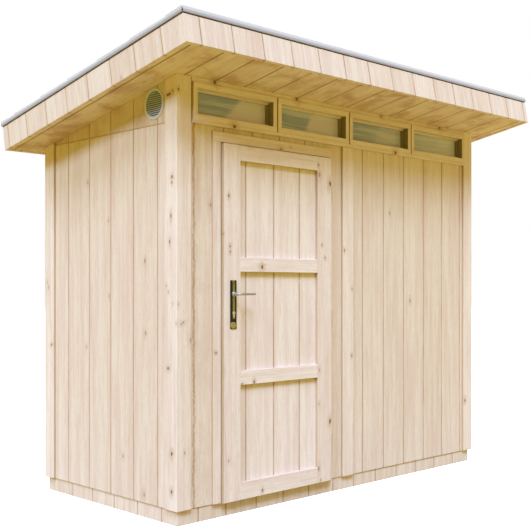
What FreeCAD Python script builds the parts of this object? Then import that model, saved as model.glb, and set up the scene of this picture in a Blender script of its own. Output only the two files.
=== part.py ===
import FreeCAD, Part
import math
import os
import re
import Sketcher

# Garden storage shed: a timber box of 2.4 by 1.14 m under one roof slope that falls to the rear.
# Row frame: origin under the middle of the roof's plan, on the ground. The front faces -Y, +Z is up.

SIZES = [
    # Body
    ("body_width", 2400, "over the corner posts"),
    ("body_depth", 1148, "over the corner posts"),
    ("post_width", 90, "square corner posts"),
    ("wall_inset", 13, "boards behind the post faces"),
    ("board_thick", 18, "wall boards"),
    ("stud_width", 45, "square studs and plates behind the boards"),
    ("over_door", 72, "doorway to the windows and gables"),
    ("middle_panel", 105, "doorway to the middle post"),
    # Base
    ("plinth_height", 71, "skirting boards of the base"),
    ("plinth_inset", 18, "skirting behind the post faces"),
    ("plinth_thick", 28, "skirting boards"),
    ("joist_width", 45, "floor joists"),
    ("joist_gap", 100, "skirting to the first joist"),
    ("floor_thick", 20, "floor boards"),
    # Roof
    ("side_overhang", 183, "fascia face beyond the posts"),
    ("front_overhang", 295, "fascia foot beyond the posts"),
    ("rear_overhang", 102, "fascia foot beyond the posts"),
    ("roof_fall", 220, "over the body's depth, down to the rear"),
    ("header_rear", 9, "windows to the lining on the room side"),
    ("fascia_depth", 129, "square to the roof"),
    ("fascia_thick", 20, "fascia boards"),
    ("soffit_thick", 16, "lining boards under the roof"),
    ("soffit_recess", 3, "lining above the fascia's foot"),
    ("eaves_gap", 6, "slot for air between the fascia and the deck"),
    ("deck_thick", 18, "boards under the covering"),
    ("rafter_width", 45, "rafters"),
    ("felt_thick", 3, "one layer of the covering"),
    ("felt_lip", 5, "covering beyond the fascia"),
    ("felt_rise", 5, "step of one course over the next"),
    ("felt_first", 118, "course along the front edge"),
    # Windows
    ("sill_thick", 15, "board under the windows"),
    ("sill_nose", 13, "sill in front of the posts"),
    ("window_height", 177, "frame"),
    ("window_nose", 10, "frame in front of the posts"),
    ("window_depth", 58, "frame"),
    ("window_bar", 27, "width of the frame's members"),
    ("window_gap", 7, "between frames"),
    ("glass_thick", 4, "panes"),
    ("glass_back", 4, "pane in front of the frame's rear"),
    # Doorway
    ("door_from", 276, "leaf's free edge from the body's left side"),
    ("leaf_width", 769, "door leaf"),
    ("leaf_height", 1718, "door leaf"),
    ("leaf_gap", 5, "round the leaf"),
    ("leaf_nose", 15, "leaf in front of the posts"),
    ("leaf_board", 18, "boards of the leaf"),
    ("leaf_frame", 18, "stiles and rails on the boards"),
    ("stile_width", 108, "stiles"),
    ("rail_foot", 84, "height of the bottom rail"),
    ("rail_middle", 70, "height of the two middle rails"),
    ("rail_lower_at", 552, "foot of the lower middle rail above the leaf's foot"),
    ("rail_upper_at", 1103, "foot of the upper middle rail above the leaf's foot"),
    ("rail_head", 76, "height of the top rail"),
    ("casing_left", 49, "casing beside the lock"),
    ("casing_right", 12, "casing beside the hinges"),
    ("casing_head", 48, "casing over the leaf"),
    ("stop_width", 14, "door stops"),
    ("stop_depth", 18, "door stops"),
    ("threshold_height", 18, "board across the doorway"),
    # Lock and handles
    ("plate_width", 40, "handle plates"),
    ("plate_height", 235, "handle plates"),
    ("plate_thick", 5, "handle plates"),
    ("plate_at", 827, "plate's foot above the leaf's foot"),
    ("backset", 60, "leaf's edge to the spindle"),
    ("lever_at", 995, "spindle above the leaf's foot"),
    ("lever_reach", 122, "spindle to the tip"),
    ("lever_stand", 42, "plate to the middle of the grip"),
    ("lever_radius", 8, "round bar"),
    ("lever_bend", 16, "bend radius"),
    ("spindle_radius", 4, "spindle"),
    ("spindle_play", 1.5, "round the spindle"),
    ("collar_radius", 13, "collars of the levers"),
    ("collar_depth", 7, "collars of the levers"),
    ("collar_play", 0.4, "collar to plate"),
    ("cylinder_drop", 92, "lock cylinder below the spindle"),
    ("cylinder_radius", 8.5, "lock cylinder"),
    ("cylinder_nose", 3, "cylinder in front of the plates"),
    # Hinges
    ("hinge_height", 90, "hinge flaps"),
    ("hinge_thick", 2, "hinge flaps"),
    ("hinge_flap", 24, "depth of the hinge flaps"),
    ("hinge_at", 150, "foot of the leaf to the lowest hinge"),
    ("knuckle_radius", 5, "hinge knuckles"),
    ("knuckle_out", 3, "hinge line in front of the leaf's face to its rear"),
    ("knuckle_side", 6, "hinge line beside the leaf"),
    ("knuckle_play", 0.5, "between the knuckles"),
    ("pin_radius", 2.5, "hinge pins"),
    ("pin_play", 0.1, "round the pins"),
    # Vent
    ("vent_radius", 75, "grille's rim"),
    ("vent_hole", 66, "radius of the hole in the gable"),
    ("vent_from_front", 182, "centre behind the front posts' face"),
    ("vent_up", 100, "centre above the panels"),
    ("vent_rim", 6, "rim in front of the boards"),
    ("vent_play", 0.5, "collar inside the hole"),
    ("vent_wall", 3, "collar"),
    ("vent_pitch", 10, "between slats"),
    ("vent_slat", 1.6, "slats"),
    # Cutters
    ("cut_past", 1, "cutters beyond the faces that they open"),
]

# Sizes that follow from others
FORMULAS = [
    ("roof_slope", "=atan(roof_fall / body_depth)", "degrees"),
]

# Numbers of like pieces
JOISTS = 5
REAR_BAYS = 4
WINDOWS = 4
RAFTERS = 6
FELT_COURSES = 5
HINGES = 3
SLATS = 13

# The course at the rear edge shows this share of its width
LAST_COURSE = 0.55
SLAT_TILT = -30

GRID_DEGREES = 90
ALIASES = {alias for alias, value, note in SIZES + FORMULAS}

doc = FreeCAD.newDocument("garden_storage_shed")
sheet = doc.addObject("Spreadsheet::Sheet", "dims")
for row, (alias, value, note) in enumerate(SIZES + FORMULAS, start=1):
    sheet.set(f"A{row}", alias)
    sheet.set(f"B{row}", str(value))
    sheet.set(f"C{row}", note)
    sheet.setAlias(f"B{row}", alias)
doc.recompute()

subparts = []


def bind(text):
    """Write an expression with the sheet's name before each alias."""
    return re.sub(r"[a-z_]+", lambda word: "dims." + word.group(0) if word.group(0) in ALIASES else word.group(0), text)


def keep(piece, label):
    """Give a finished piece its name and put it on the list of files."""
    piece.Label = label
    subparts.append(piece)
    return piece


# Places that many pieces share, in the row frame
LEFT = "(-body_width / 2)"
RIGHT = "(body_width / 2)"
BASE = "plinth_height"
DECK_FOOT = "(fascia_depth + eaves_gap)"
DECK_TOP = f"({DECK_FOOT} + deck_thick)"
ROOF_TOP = f"({DECK_TOP} + felt_thick + felt_rise)"
PLAN_DEPTH = (f"(front_overhang + body_depth + rear_overhang + {ROOF_TOP} * sin(roof_slope)"
              " + felt_lip * cos(roof_slope))")
EAVE = f"(-{PLAN_DEPTH} / 2)"
FRONT = f"({EAVE} + front_overhang)"
REAR = f"({FRONT} + body_depth)"
LEAF_FOOT = "(plinth_height + leaf_gap)"
LEAF_HEAD = f"({LEAF_FOOT} + leaf_height)"
DOORWAY_HEAD = f"({LEAF_HEAD} + leaf_gap)"
PANEL_TOP = f"({DOORWAY_HEAD} + over_door)"
SILL_TOP = f"({PANEL_TOP} + sill_thick)"
WINDOW_TOP = f"({SILL_TOP} + window_height)"
FRONT_BOARD = f"({FRONT} + wall_inset)"
FRONT_FRAME = f"({FRONT_BOARD} + board_thick)"
FRONT_ROOM = f"({FRONT_FRAME} + stud_width)"
REAR_BOARD = f"({REAR} - wall_inset)"
REAR_FRAME = f"({REAR_BOARD} - board_thick)"
REAR_ROOM = f"({REAR_FRAME} - stud_width)"
LEFT_BOARD = f"({LEFT} + wall_inset)"
LEFT_FRAME = f"({LEFT_BOARD} + board_thick)"
RIGHT_BOARD = f"({RIGHT} - wall_inset)"
RIGHT_FRAME = f"({RIGHT_BOARD} - board_thick)"
FLOOR_TOP = "(plinth_height + floor_thick)"
LINING = f"({WINDOW_TOP} + header_rear + ({FRONT_ROOM} - {EAVE}) * tan(roof_slope))"
FOOT = f"({LINING} - soffit_recess / cos(roof_slope))"

# Doorway
LEAF_LEFT = f"({LEFT} + door_from)"
LEAF_RIGHT = f"({LEAF_LEFT} + leaf_width)"
LEAF_FRONT = f"({FRONT} - leaf_nose)"
LEAF_BOARDS = f"({LEAF_FRONT} + leaf_frame)"
LEAF_REAR = f"({LEAF_BOARDS} + leaf_board)"
DOORWAY_LEFT = f"({LEAF_LEFT} - leaf_gap)"
DOORWAY_RIGHT = f"({LEAF_RIGHT} + leaf_gap)"
STOP_FRONT = f"({LEAF_REAR} + leaf_gap)"
MIDDLE_LEFT = f"({DOORWAY_RIGHT} + middle_panel)"
MIDDLE_RIGHT = f"({MIDDLE_LEFT} + post_width)"

# Lock
SPINDLE_X = f"({LEAF_LEFT} + backset)"
SPINDLE_Z = f"({LEAF_FOOT} + lever_at)"
PLATE_FOOT = f"({LEAF_FOOT} + plate_at)"
CYLINDER_Z = f"({SPINDLE_Z} - cylinder_drop)"

# Hinge line
HINGE_X = f"({LEAF_RIGHT} + knuckle_side)"
HINGE_Y = f"({LEAF_FRONT} + knuckle_out)"


def lining_height(y):
    """Height of the lining's lower face over a place in the plan."""
    return f"({LINING} - ({y} - {EAVE}) * tan(roof_slope))"


def set_place(piece, x, y, z):
    """Bind a piece's corner to a place in the row frame."""
    for axis, text in zip("xyz", (x, y, z)):
        piece.setExpression(f".Placement.Base.{axis}", bind(text))


def box(name, x, y, z):
    """Make a box between two bounds on each axis."""
    piece = doc.addObject("Part::Box", name)
    for size, (low, high) in zip(("Length", "Width", "Height"), (x, y, z)):
        piece.setExpression(size, bind(f"({high}) - ({low})"))
    set_place(piece, x[0], y[0], z[0])
    return piece


def roof_place(piece, x, along, up):
    """Lay a piece in the roof's slope: along runs down it from the front fascia's foot."""
    piece.Placement = FreeCAD.Placement(FreeCAD.Vector(), FreeCAD.Rotation(FreeCAD.Vector(-1, 0, 0), GRID_DEGREES))
    piece.setExpression(".Placement.Rotation.Angle", bind("roof_slope"))
    y = f"{EAVE} + ({along}) * cos(roof_slope) + ({up}) * sin(roof_slope)"
    z = f"{FOOT} - ({along}) * sin(roof_slope) + ({up}) * cos(roof_slope)"
    set_place(piece, x, y, z)


def roof_box(name, x, along, up):
    """Make a box in the roof's slope."""
    piece = doc.addObject("Part::Box", name)
    for size, (low, high) in zip(("Length", "Width", "Height"), (x, along, up)):
        piece.setExpression(size, bind(f"({high}) - ({low})"))
    roof_place(piece, x[0], along[0], up[0])
    return piece


def cylinder(name, x, y, z, radius, length, direction):
    """Make a round bar from a place along +X, +Y or +Z."""
    piece = doc.addObject("Part::Cylinder", name)
    piece.setExpression("Radius", bind(radius))
    piece.setExpression("Height", bind(length))
    turns = {
        "x": FreeCAD.Rotation(FreeCAD.Vector(0, 1, 0), GRID_DEGREES),
        "y": FreeCAD.Rotation(FreeCAD.Vector(1, 0, 0), -GRID_DEGREES),
        "z": FreeCAD.Rotation(),
    }
    piece.Placement = FreeCAD.Placement(FreeCAD.Vector(), turns[direction])
    set_place(piece, x, y, z)
    return piece


def group(name, pieces):
    """Hold like pieces that don't touch as one node."""
    compound = doc.addObject("Part::Compound", name)
    compound.Links = pieces
    return compound


def cut(name, base, tool):
    """Take one piece away from another."""
    result = doc.addObject("Part::Cut", name)
    result.Base = base
    result.Tool = tool
    return result


def fuse(name, pieces):
    """Join pieces to one solid."""
    result = doc.addObject("Part::MultiFuse", name)
    result.Shapes = pieces
    result.Refine = True
    return result


def plane_of(body, role):
    """Find one of a body's own origin planes."""
    return next(feature for feature in body.Origin.OriginFeatures if feature.Role == role)


def outline(sketch, points):
    """Draw a closed outline whose corners are bound to places in the sketch's quadrant."""
    count = len(points)
    turns = [2 * math.pi * index / count for index in range(count)]
    guess = [FreeCAD.Vector(2 + math.cos(turn), 2 + math.sin(turn), 0) for turn in turns]
    first = sketch.GeometryCount
    for index in range(count):
        sketch.addGeometry(Part.LineSegment(guess[index], guess[(index + 1) % count]), False)
    for index in range(count):
        line = first + index
        after = first + (index + 1) % count
        sketch.addConstraint(Sketcher.Constraint("Coincident", line, 2, after, 1))
    for index, place in enumerate(points):
        for kind, value, text in zip(("DistanceX", "DistanceY"), guess[index], place):
            line = first + index
            number = sketch.addConstraint(Sketcher.Constraint(kind, -1, 1, line, 1, value))
            label = f"{'x' if kind == 'DistanceX' else 'y'}{line}"
            sketch.renameConstraint(number, label)
            sketch.setExpression(f"Constraints.{label}", bind(text))


def pad(body, sketch, length, reverse=False):
    """Pad a sketch by a bound length."""
    feature = body.newObject("PartDesign::Pad", body.Name + "_pad")
    feature.Profile = sketch
    feature.Reversed = reverse
    feature.setExpression("Length", bind(length))
    body.Tip = feature
    return feature


def new_body(name, role, label):
    """Start a body with one sketch on its own plane."""
    body = doc.addObject("PartDesign::Body", name)
    sketch = body.newObject("Sketcher::SketchObject", name + "_" + label)
    sketch.AttachmentSupport = [(plane_of(body, role), "")]
    sketch.MapMode = "FlatFace"
    return body, sketch


def prism(name, x, y, z, points):
    """Pad an outline in the Y-Z plane along X, with its corner at a place in the row frame."""
    body, sketch = new_body(name, "YZ_Plane", "outline")
    outline(sketch, points)
    pad(body, sketch, f"({x[1]}) - ({x[0]})")
    set_place(body, x[0], y, z)
    return body


def upright(name, x, y, foot):
    """Make a post or wedge from a level foot up to the lining."""
    low, high = y
    run = f"(({high}) - ({low}))"
    tall = f"({lining_height(low)} - {foot})"
    short = f"({lining_height(high)} - {foot})"
    points = [("0", "0"), (run, "0"), (run, short), ("0", tall)]
    return prism(name, x, low, foot, points)


def build_base():
    """Build the skirting, the joists and the floor."""
    inset = {
        "left": f"({LEFT} + plinth_inset)",
        "right": f"({RIGHT} - plinth_inset)",
        "front": f"({FRONT} + plinth_inset)",
        "rear": f"({REAR} - plinth_inset)",
    }
    inner_front = f"({inset['front']} + plinth_thick)"
    inner_rear = f"({inset['rear']} - plinth_thick)"
    across = (inset["left"], inset["right"])
    height = ("0", BASE)
    keep(box("plinth_front", across, (inset["front"], inner_front), height), "plinth_front")
    keep(box("plinth_rear", across, (inner_rear, inset["rear"]), height), "plinth_rear")
    between = (inner_front, inner_rear)
    inner_left = f"({inset['left']} + plinth_thick)"
    inner_right = f"({inset['right']} - plinth_thick)"
    keep(box("plinth_left", (inset["left"], inner_left), between, height), "plinth_left")
    keep(box("plinth_right", (inner_right, inset["right"]), between, height), "plinth_right")

    joists = []
    for index in range(JOISTS):
        reach = f"({inner_right} - {inner_left} - 2 * joist_gap - joist_width)"
        x = f"({inner_left} + joist_gap + {reach} * {index} / {JOISTS - 1})"
        joists.append(box(f"joist_{index}", (x, f"{x} + joist_width"), between, height))
    keep(group("floor_joists", joists), "floor_joists")

    slab = box("floor_slab", (LEFT_FRAME, RIGHT_FRAME), (FRONT_FRAME, REAR_FRAME), (BASE, FLOOR_TOP))
    corners = []
    for side, x in (("left", (LEFT, f"{LEFT} + post_width")), ("right", (f"{RIGHT} - post_width", RIGHT))):
        for end, y in (("front", (FRONT, f"{FRONT} + post_width")), ("rear", (f"{REAR} - post_width", REAR))):
            corners.append(box(f"floor_notch_{side}_{end}", x, y, (BASE, f"{FLOOR_TOP} + cut_past")))
    keep(cut("floor_cut", slab, group("floor_notches", corners)), "floor")


def build_posts():
    """Build the corner posts and the post between the two front panels."""
    for side, x in (("left", (LEFT, f"{LEFT} + post_width")), ("right", (f"{RIGHT} - post_width", RIGHT))):
        for end, y in (("front", (FRONT, f"{FRONT} + post_width")), ("rear", (f"{REAR} - post_width", REAR))):
            keep(upright(f"post_{end}_{side}", x, y, BASE), f"corner_post_{end}_{side}")
    keep(box("post_middle", (MIDDLE_LEFT, MIDDLE_RIGHT), (FRONT, FRONT_FRAME), (BASE, PANEL_TOP)), "middle_post")


def build_walls():
    """Build the boarding of the four walls, split beside and over the doorway."""
    depth = (FRONT_BOARD, FRONT_FRAME)
    height = (BASE, PANEL_TOP)
    post_left = f"({LEFT} + post_width)"
    post_right = f"({RIGHT} - post_width)"
    keep(box("boards_left", (post_left, DOORWAY_LEFT), depth, height), "front_wall_left")
    keep(box("boards_middle", (DOORWAY_RIGHT, MIDDLE_LEFT), depth, height), "front_wall_middle")
    keep(box("boards_right", (MIDDLE_RIGHT, post_right), depth, height), "front_wall_right")
    over = (DOORWAY_HEAD, PANEL_TOP)
    keep(box("boards_over", (DOORWAY_LEFT, DOORWAY_RIGHT), depth, over), "front_wall_over_door")
    keep(upright("boards_rear", (post_left, post_right), (REAR_FRAME, REAR_BOARD), BASE), "rear_wall")

    between = (f"({FRONT} + post_width)", f"({REAR} - post_width)")
    keep(box("boards_side_left", (LEFT_BOARD, LEFT_FRAME), between, height), "left_wall")
    keep(box("boards_side_right", (RIGHT_FRAME, RIGHT_BOARD), between, height), "right_wall")
    gable = upright("gable_left", (LEFT_BOARD, LEFT_FRAME), between, PANEL_TOP)
    hole = cylinder("vent_hole", f"{LEFT} - cut_past", f"{FRONT} + vent_from_front", f"{PANEL_TOP} + vent_up",
                    "vent_hole", "wall_inset + board_thick + 2 * cut_past", "x")
    keep(cut("gable_cut", gable, hole), "left_gable")
    keep(upright("gable_right", (RIGHT_FRAME, RIGHT_BOARD), between, PANEL_TOP), "right_gable")


def build_frame():
    """Build the studs and plates behind the boards."""
    plate_foot = FLOOR_TOP
    plate_top = f"({FLOOR_TOP} + stud_width)"
    head_foot = f"({PANEL_TOP} - stud_width)"
    front_depth = (FRONT_FRAME, FRONT_ROOM)
    rear_depth = (REAR_ROOM, REAR_FRAME)
    left_depth = (LEFT_FRAME, f"({LEFT_FRAME} + stud_width)")
    right_depth = (f"({RIGHT_FRAME} - stud_width)", RIGHT_FRAME)
    post_left = f"({LEFT} + post_width)"
    post_right = f"({RIGHT} - post_width)"
    post_front = f"({FRONT} + post_width)"
    post_rear = f"({REAR} - post_width)"

    sole_height = (plate_foot, plate_top)
    head_height = (head_foot, PANEL_TOP)
    soles = [
        box("sole_front_left", (post_left, DOORWAY_LEFT), front_depth, sole_height),
        box("sole_front_right", (DOORWAY_RIGHT, post_right), front_depth, sole_height),
        box("sole_rear", (post_left, post_right), rear_depth, sole_height),
        box("sole_left", left_depth, (post_front, post_rear), sole_height),
        box("sole_right", right_depth, (post_front, post_rear), sole_height),
    ]
    keep(group("soles", soles), "bottom_plates")
    heads = [
        box("head_front", (post_left, post_right), front_depth, head_height),
        box("head_rear", (post_left, post_right), rear_depth, head_height),
        box("head_left", left_depth, (post_front, post_rear), head_height),
        box("head_right", right_depth, (post_front, post_rear), head_height),
    ]
    keep(group("heads", heads), "top_plates")

    height = (plate_top, head_foot)
    post = f"(({MIDDLE_LEFT} + {MIDDLE_RIGHT}) / 2)"
    middle = f"(({MIDDLE_RIGHT} + {post_right}) / 2)"
    studs = [
        box("stud_lock_side", (f"{DOORWAY_LEFT} - stud_width", DOORWAY_LEFT), front_depth, height),
        box("stud_hinge_side", (DOORWAY_RIGHT, f"{DOORWAY_RIGHT} + stud_width"), front_depth, height),
        box("stud_front_left", (post_left, f"{post_left} + stud_width"), front_depth, height),
        box("stud_front_middle", (f"{post} - stud_width / 2", f"{post} + stud_width / 2"), front_depth, height),
        box("stud_front_panel", (f"{middle} - stud_width / 2", f"{middle} + stud_width / 2"), front_depth, height),
        box("stud_front_right", (f"{post_right} - stud_width", post_right), front_depth, height),
    ]
    for index in range(1, REAR_BAYS):
        x = f"({post_left} + ({post_right} - {post_left}) * {index} / {REAR_BAYS})"
        studs.append(box(f"stud_rear_{index}", (f"{x} - stud_width / 2", f"{x} + stud_width / 2"), rear_depth, height))
    for side, depth in (("left", left_depth), ("right", right_depth)):
        y = f"({post_front} + {post_rear}) / 2"
        studs.append(box(f"stud_{side}", depth, (f"{y} - stud_width / 2", f"{y} + stud_width / 2"), height))
    keep(group("studs", studs), "wall_studs")


def build_doorway():
    """Build the casing, the stops and the threshold round the door."""
    casing_depth = (FRONT, FRONT_BOARD)
    head = (DOORWAY_HEAD, f"{DOORWAY_HEAD} + casing_head")
    sides = [
        box("casing_lock_side", (f"{DOORWAY_LEFT} - casing_left", DOORWAY_LEFT), casing_depth, (BASE, DOORWAY_HEAD)),
        box("casing_hinge_side", (DOORWAY_RIGHT, f"{DOORWAY_RIGHT} + casing_right"), casing_depth,
            (BASE, DOORWAY_HEAD)),
    ]
    keep(group("casing_sides", sides), "door_casing_sides")
    across = (f"{DOORWAY_LEFT} - casing_left", f"{DOORWAY_RIGHT} + casing_right")
    keep(box("casing_head_board", across, casing_depth, head), "door_casing_head")

    lintel_foot = f"({DOORWAY_HEAD} - stop_width)"
    stop_depth = (STOP_FRONT, f"{STOP_FRONT} + stop_depth")
    stop_height = (f"{FLOOR_TOP} + threshold_height", lintel_foot)
    stops = [
        box("stop_lock_side", (DOORWAY_LEFT, f"{DOORWAY_LEFT} + stop_width"), stop_depth, stop_height),
        box("stop_hinge_side", (f"{DOORWAY_RIGHT} - stop_width", DOORWAY_RIGHT), stop_depth, stop_height),
    ]
    keep(group("stops", stops), "door_stops")
    keep(box("lintel", (DOORWAY_LEFT, DOORWAY_RIGHT), (FRONT_FRAME, FRONT_ROOM),
             (lintel_foot, f"{PANEL_TOP} - stud_width")), "door_lintel")
    keep(box("threshold_board", (DOORWAY_LEFT, DOORWAY_RIGHT), (FRONT_FRAME, FRONT_ROOM),
             (FLOOR_TOP, f"{FLOOR_TOP} + threshold_height")), "threshold")


def build_windows():
    """Build the sill, the row of four fixed windows and the board over them."""
    post_left = f"({LEFT} + post_width)"
    post_right = f"({RIGHT} - post_width)"
    across = (post_left, post_right)
    keep(box("sill", across, (f"{FRONT} - sill_nose", FRONT_ROOM), (PANEL_TOP, SILL_TOP)), "window_sill")
    keep(upright("header", across, (FRONT, FRONT_ROOM), WINDOW_TOP), "window_header")

    pitch = f"((body_width - 2 * post_width) / {WINDOWS})"
    frames = []
    panes = []
    front = f"({FRONT} - window_nose)"
    width = f"({pitch} - window_gap)"
    pane_depth = (f"({front} + window_depth - glass_back - glass_thick)", f"({front} + window_depth - glass_back)")
    for index in range(WINDOWS):
        x = f"({post_left} + {pitch} * {index} + window_gap / 2)"
        body, sketch = new_body(f"frame_{index}", "XZ_Plane", "outline")
        far = f"({width} - window_bar)"
        top = "(window_height - window_bar)"
        outline(sketch, [("0", "0"), (width, "0"), (width, "window_height"), ("0", "window_height")])
        outline(sketch, [("window_bar", "window_bar"), (far, "window_bar"), (far, top), ("window_bar", top)])
        pad(body, sketch, "window_depth", reverse=True)
        set_place(body, x, front, SILL_TOP)
        frames.append(body)
        inner = (f"{x} + window_bar", f"{x} + {width} - window_bar")
        panes.append(box(f"pane_{index}", inner, pane_depth,
                         (f"{SILL_TOP} + window_bar", f"{SILL_TOP} + window_height - window_bar")))
    keep(group("frames", frames), "window_frames")
    keep(group("panes", panes), "window_glass")

    mullions = []
    for index in range(1, WINDOWS):
        x = f"({post_left} + {pitch} * {index})"
        mullions.append(box(f"mullion_{index}", (f"{x} - stud_width / 2", f"{x} + stud_width / 2"),
                            (f"{front} + window_depth", FRONT_ROOM), (SILL_TOP, WINDOW_TOP)))
    keep(group("mullions", mullions), "window_mullions")


def build_roof():
    """Build the closed roof: lining, rafters, deck, covering and the four fascia boards."""
    slope_length = "((front_overhang + body_depth + rear_overhang) / cos(roof_slope))"
    left = f"({LEFT} - side_overhang)"
    right = f"({RIGHT} + side_overhang)"
    inner_x = (f"({left} + fascia_thick)", f"({right} - fascia_thick)")
    inner_along = ("fascia_thick", f"({slope_length} - fascia_thick)")
    full = ("0", "fascia_depth")
    keep(roof_box("fascia_a", (left, right), ("0", "fascia_thick"), full), "fascia_front")
    keep(roof_box("fascia_b", (left, right), (inner_along[1], slope_length), full), "fascia_rear")
    keep(roof_box("fascia_c", (left, inner_x[0]), inner_along, full), "fascia_left")
    keep(roof_box("fascia_d", (inner_x[1], right), inner_along, full), "fascia_right")

    lining_top = "(soffit_recess + soffit_thick)"
    keep(roof_box("lining", inner_x, inner_along, ("soffit_recess", lining_top)), "soffit")
    rafters = []
    for index in range(RAFTERS):
        x = f"({inner_x[0]} + ({inner_x[1]} - {inner_x[0]} - rafter_width) * {index} / {RAFTERS - 1})"
        rafters.append(roof_box(f"rafter_{index}", (x, f"{x} + rafter_width"), inner_along, (lining_top, DECK_FOOT)))
    keep(group("rafters", rafters), "roof_rafters")

    past = "(felt_lip - felt_thick)"
    deck_x = (f"({left} - {past})", f"({right} + {past})")
    deck_along = (f"(-{past})", f"({slope_length} + {past})")
    keep(roof_box("deck", deck_x, deck_along, (DECK_FOOT, DECK_TOP)), "roof_deck")
    lip_x = (f"({left} - felt_lip)", f"({right} + felt_lip)")
    keep(build_covering(lip_x, slope_length, (deck_x, deck_along)), "roof_covering")


def build_covering(x, slope_length, deck):
    """Build the covering: overlapping courses on the deck, folded down over its four edges."""
    low = "(deck_thick + felt_thick)"
    high = f"({low} + felt_rise)"
    end = f"({slope_length} + 2 * felt_lip)"
    course = f"(({end} - felt_first) / {FELT_COURSES + LAST_COURSE})"
    points = [("0", "0"), (end, "0"), (end, high)]
    for index in range(FELT_COURSES, 0, -1):
        step = f"(felt_first + {course} * {index})"
        points += [(step, low), (step, high)]
    points += [("felt_first", low), ("felt_first", high), ("0", high)]
    body, sketch = new_body("courses", "YZ_Plane", "outline")
    outline(sketch, points)
    pad(body, sketch, f"({x[1]}) - ({x[0]})")
    roof_place(body, x[0], "-felt_lip", DECK_FOOT)
    inside = roof_box("courses_inside", deck[0], deck[1], (f"({DECK_FOOT} - cut_past)", DECK_TOP))
    return cut("covering", body, inside)


def build_door():
    """Build the leaf: boards with two stiles and four rails on their front."""
    across = (LEAF_LEFT, LEAF_RIGHT)
    height = (BASE, LEAF_HEAD)
    hole_y = f"({LEAF_FRONT} - cut_past)"
    hole_length = "(leaf_frame + leaf_board + 2 * cut_past)"
    boards = box("leaf_boards", across, (LEAF_BOARDS, LEAF_REAR), (LEAF_FOOT, LEAF_HEAD))
    stile = box("stile_lock_side", (LEAF_LEFT, f"{LEAF_LEFT} + stile_width"), (LEAF_FRONT, LEAF_BOARDS), height)
    for name, piece in (("door_boards", boards), ("door_stile_left", stile)):
        bores = []
        for use, z, radius in (("spindle", SPINDLE_Z, "spindle_radius + spindle_play"),
                               ("cylinder", CYLINDER_Z, "cylinder_radius")):
            bores.append(cylinder(f"{name}_{use}_bore", SPINDLE_X, hole_y, z, radius, hole_length, "y"))
        keep(cut(f"{name}_cut", piece, group(f"{name}_bores", bores)), name)
    keep(box("stile_hinge_side", (f"{LEAF_RIGHT} - stile_width", LEAF_RIGHT), (LEAF_FRONT, LEAF_BOARDS), height),
         "door_stile_right")
    between = (f"{LEAF_LEFT} + stile_width", f"{LEAF_RIGHT} - stile_width")
    rails = []
    for name, foot, tall in (
            ("foot", BASE, "rail_foot"),
            ("lower", f"({LEAF_FOOT} + rail_lower_at)", "rail_middle"),
            ("upper", f"({LEAF_FOOT} + rail_upper_at)", "rail_middle"),
            ("head", f"({LEAF_HEAD} - rail_head)", "rail_head")):
        rails.append(box(f"rail_{name}", between, (LEAF_FRONT, LEAF_BOARDS), (foot, f"{foot} + {tall}")))
    keep(group("rails", rails), "door_rails")


def build_lock():
    """Build the two handle plates, the lock cylinder and the pair of levers on their spindle."""
    plates = []
    levers = []
    for side, face, outward in (("outer", LEAF_FRONT, -1), ("inner", LEAF_REAR, 1)):
        low, high = (f"({face} - plate_thick)", face) if outward < 0 else (face, f"({face} + plate_thick)")
        plate = box(f"plate_{side}", (f"{SPINDLE_X} - plate_width / 2", f"{SPINDLE_X} + plate_width / 2"),
                    (low, high), (PLATE_FOOT, f"{PLATE_FOOT} + plate_height"))
        bores = [
            cylinder(f"plate_{side}_spindle", SPINDLE_X, f"{low} - cut_past", SPINDLE_Z,
                     "spindle_radius + spindle_play", "plate_thick + 2 * cut_past", "y"),
            cylinder(f"plate_{side}_cylinder", SPINDLE_X, f"{low} - cut_past", CYLINDER_Z, "cylinder_radius",
                     "plate_thick + 2 * cut_past", "y"),
        ]
        plates.append(cut(f"plate_{side}_cut", plate, group(f"plate_{side}_bores", bores)))
        levers.append(lever(side, f"({low if outward < 0 else high})", outward))
    keep(group("plates", plates), "handle_plates")
    keep(cylinder("lock_barrel", SPINDLE_X, f"{LEAF_FRONT} - plate_thick - cylinder_nose", CYLINDER_Z,
                  "cylinder_radius", "leaf_frame + leaf_board + 2 * plate_thick + 2 * cylinder_nose", "y"),
         "lock_cylinder")
    keep(levers[0], "lever_outer")
    keep(levers[1], "lever_inner")
    start = f"({LEAF_FRONT} - plate_thick - collar_play)"
    stop = f"({LEAF_REAR} + plate_thick + collar_play)"
    keep(cylinder("spindle_bar", SPINDLE_X, start, SPINDLE_Z, "spindle_radius", f"{stop} - {start}", "y"), "spindle")


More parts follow.
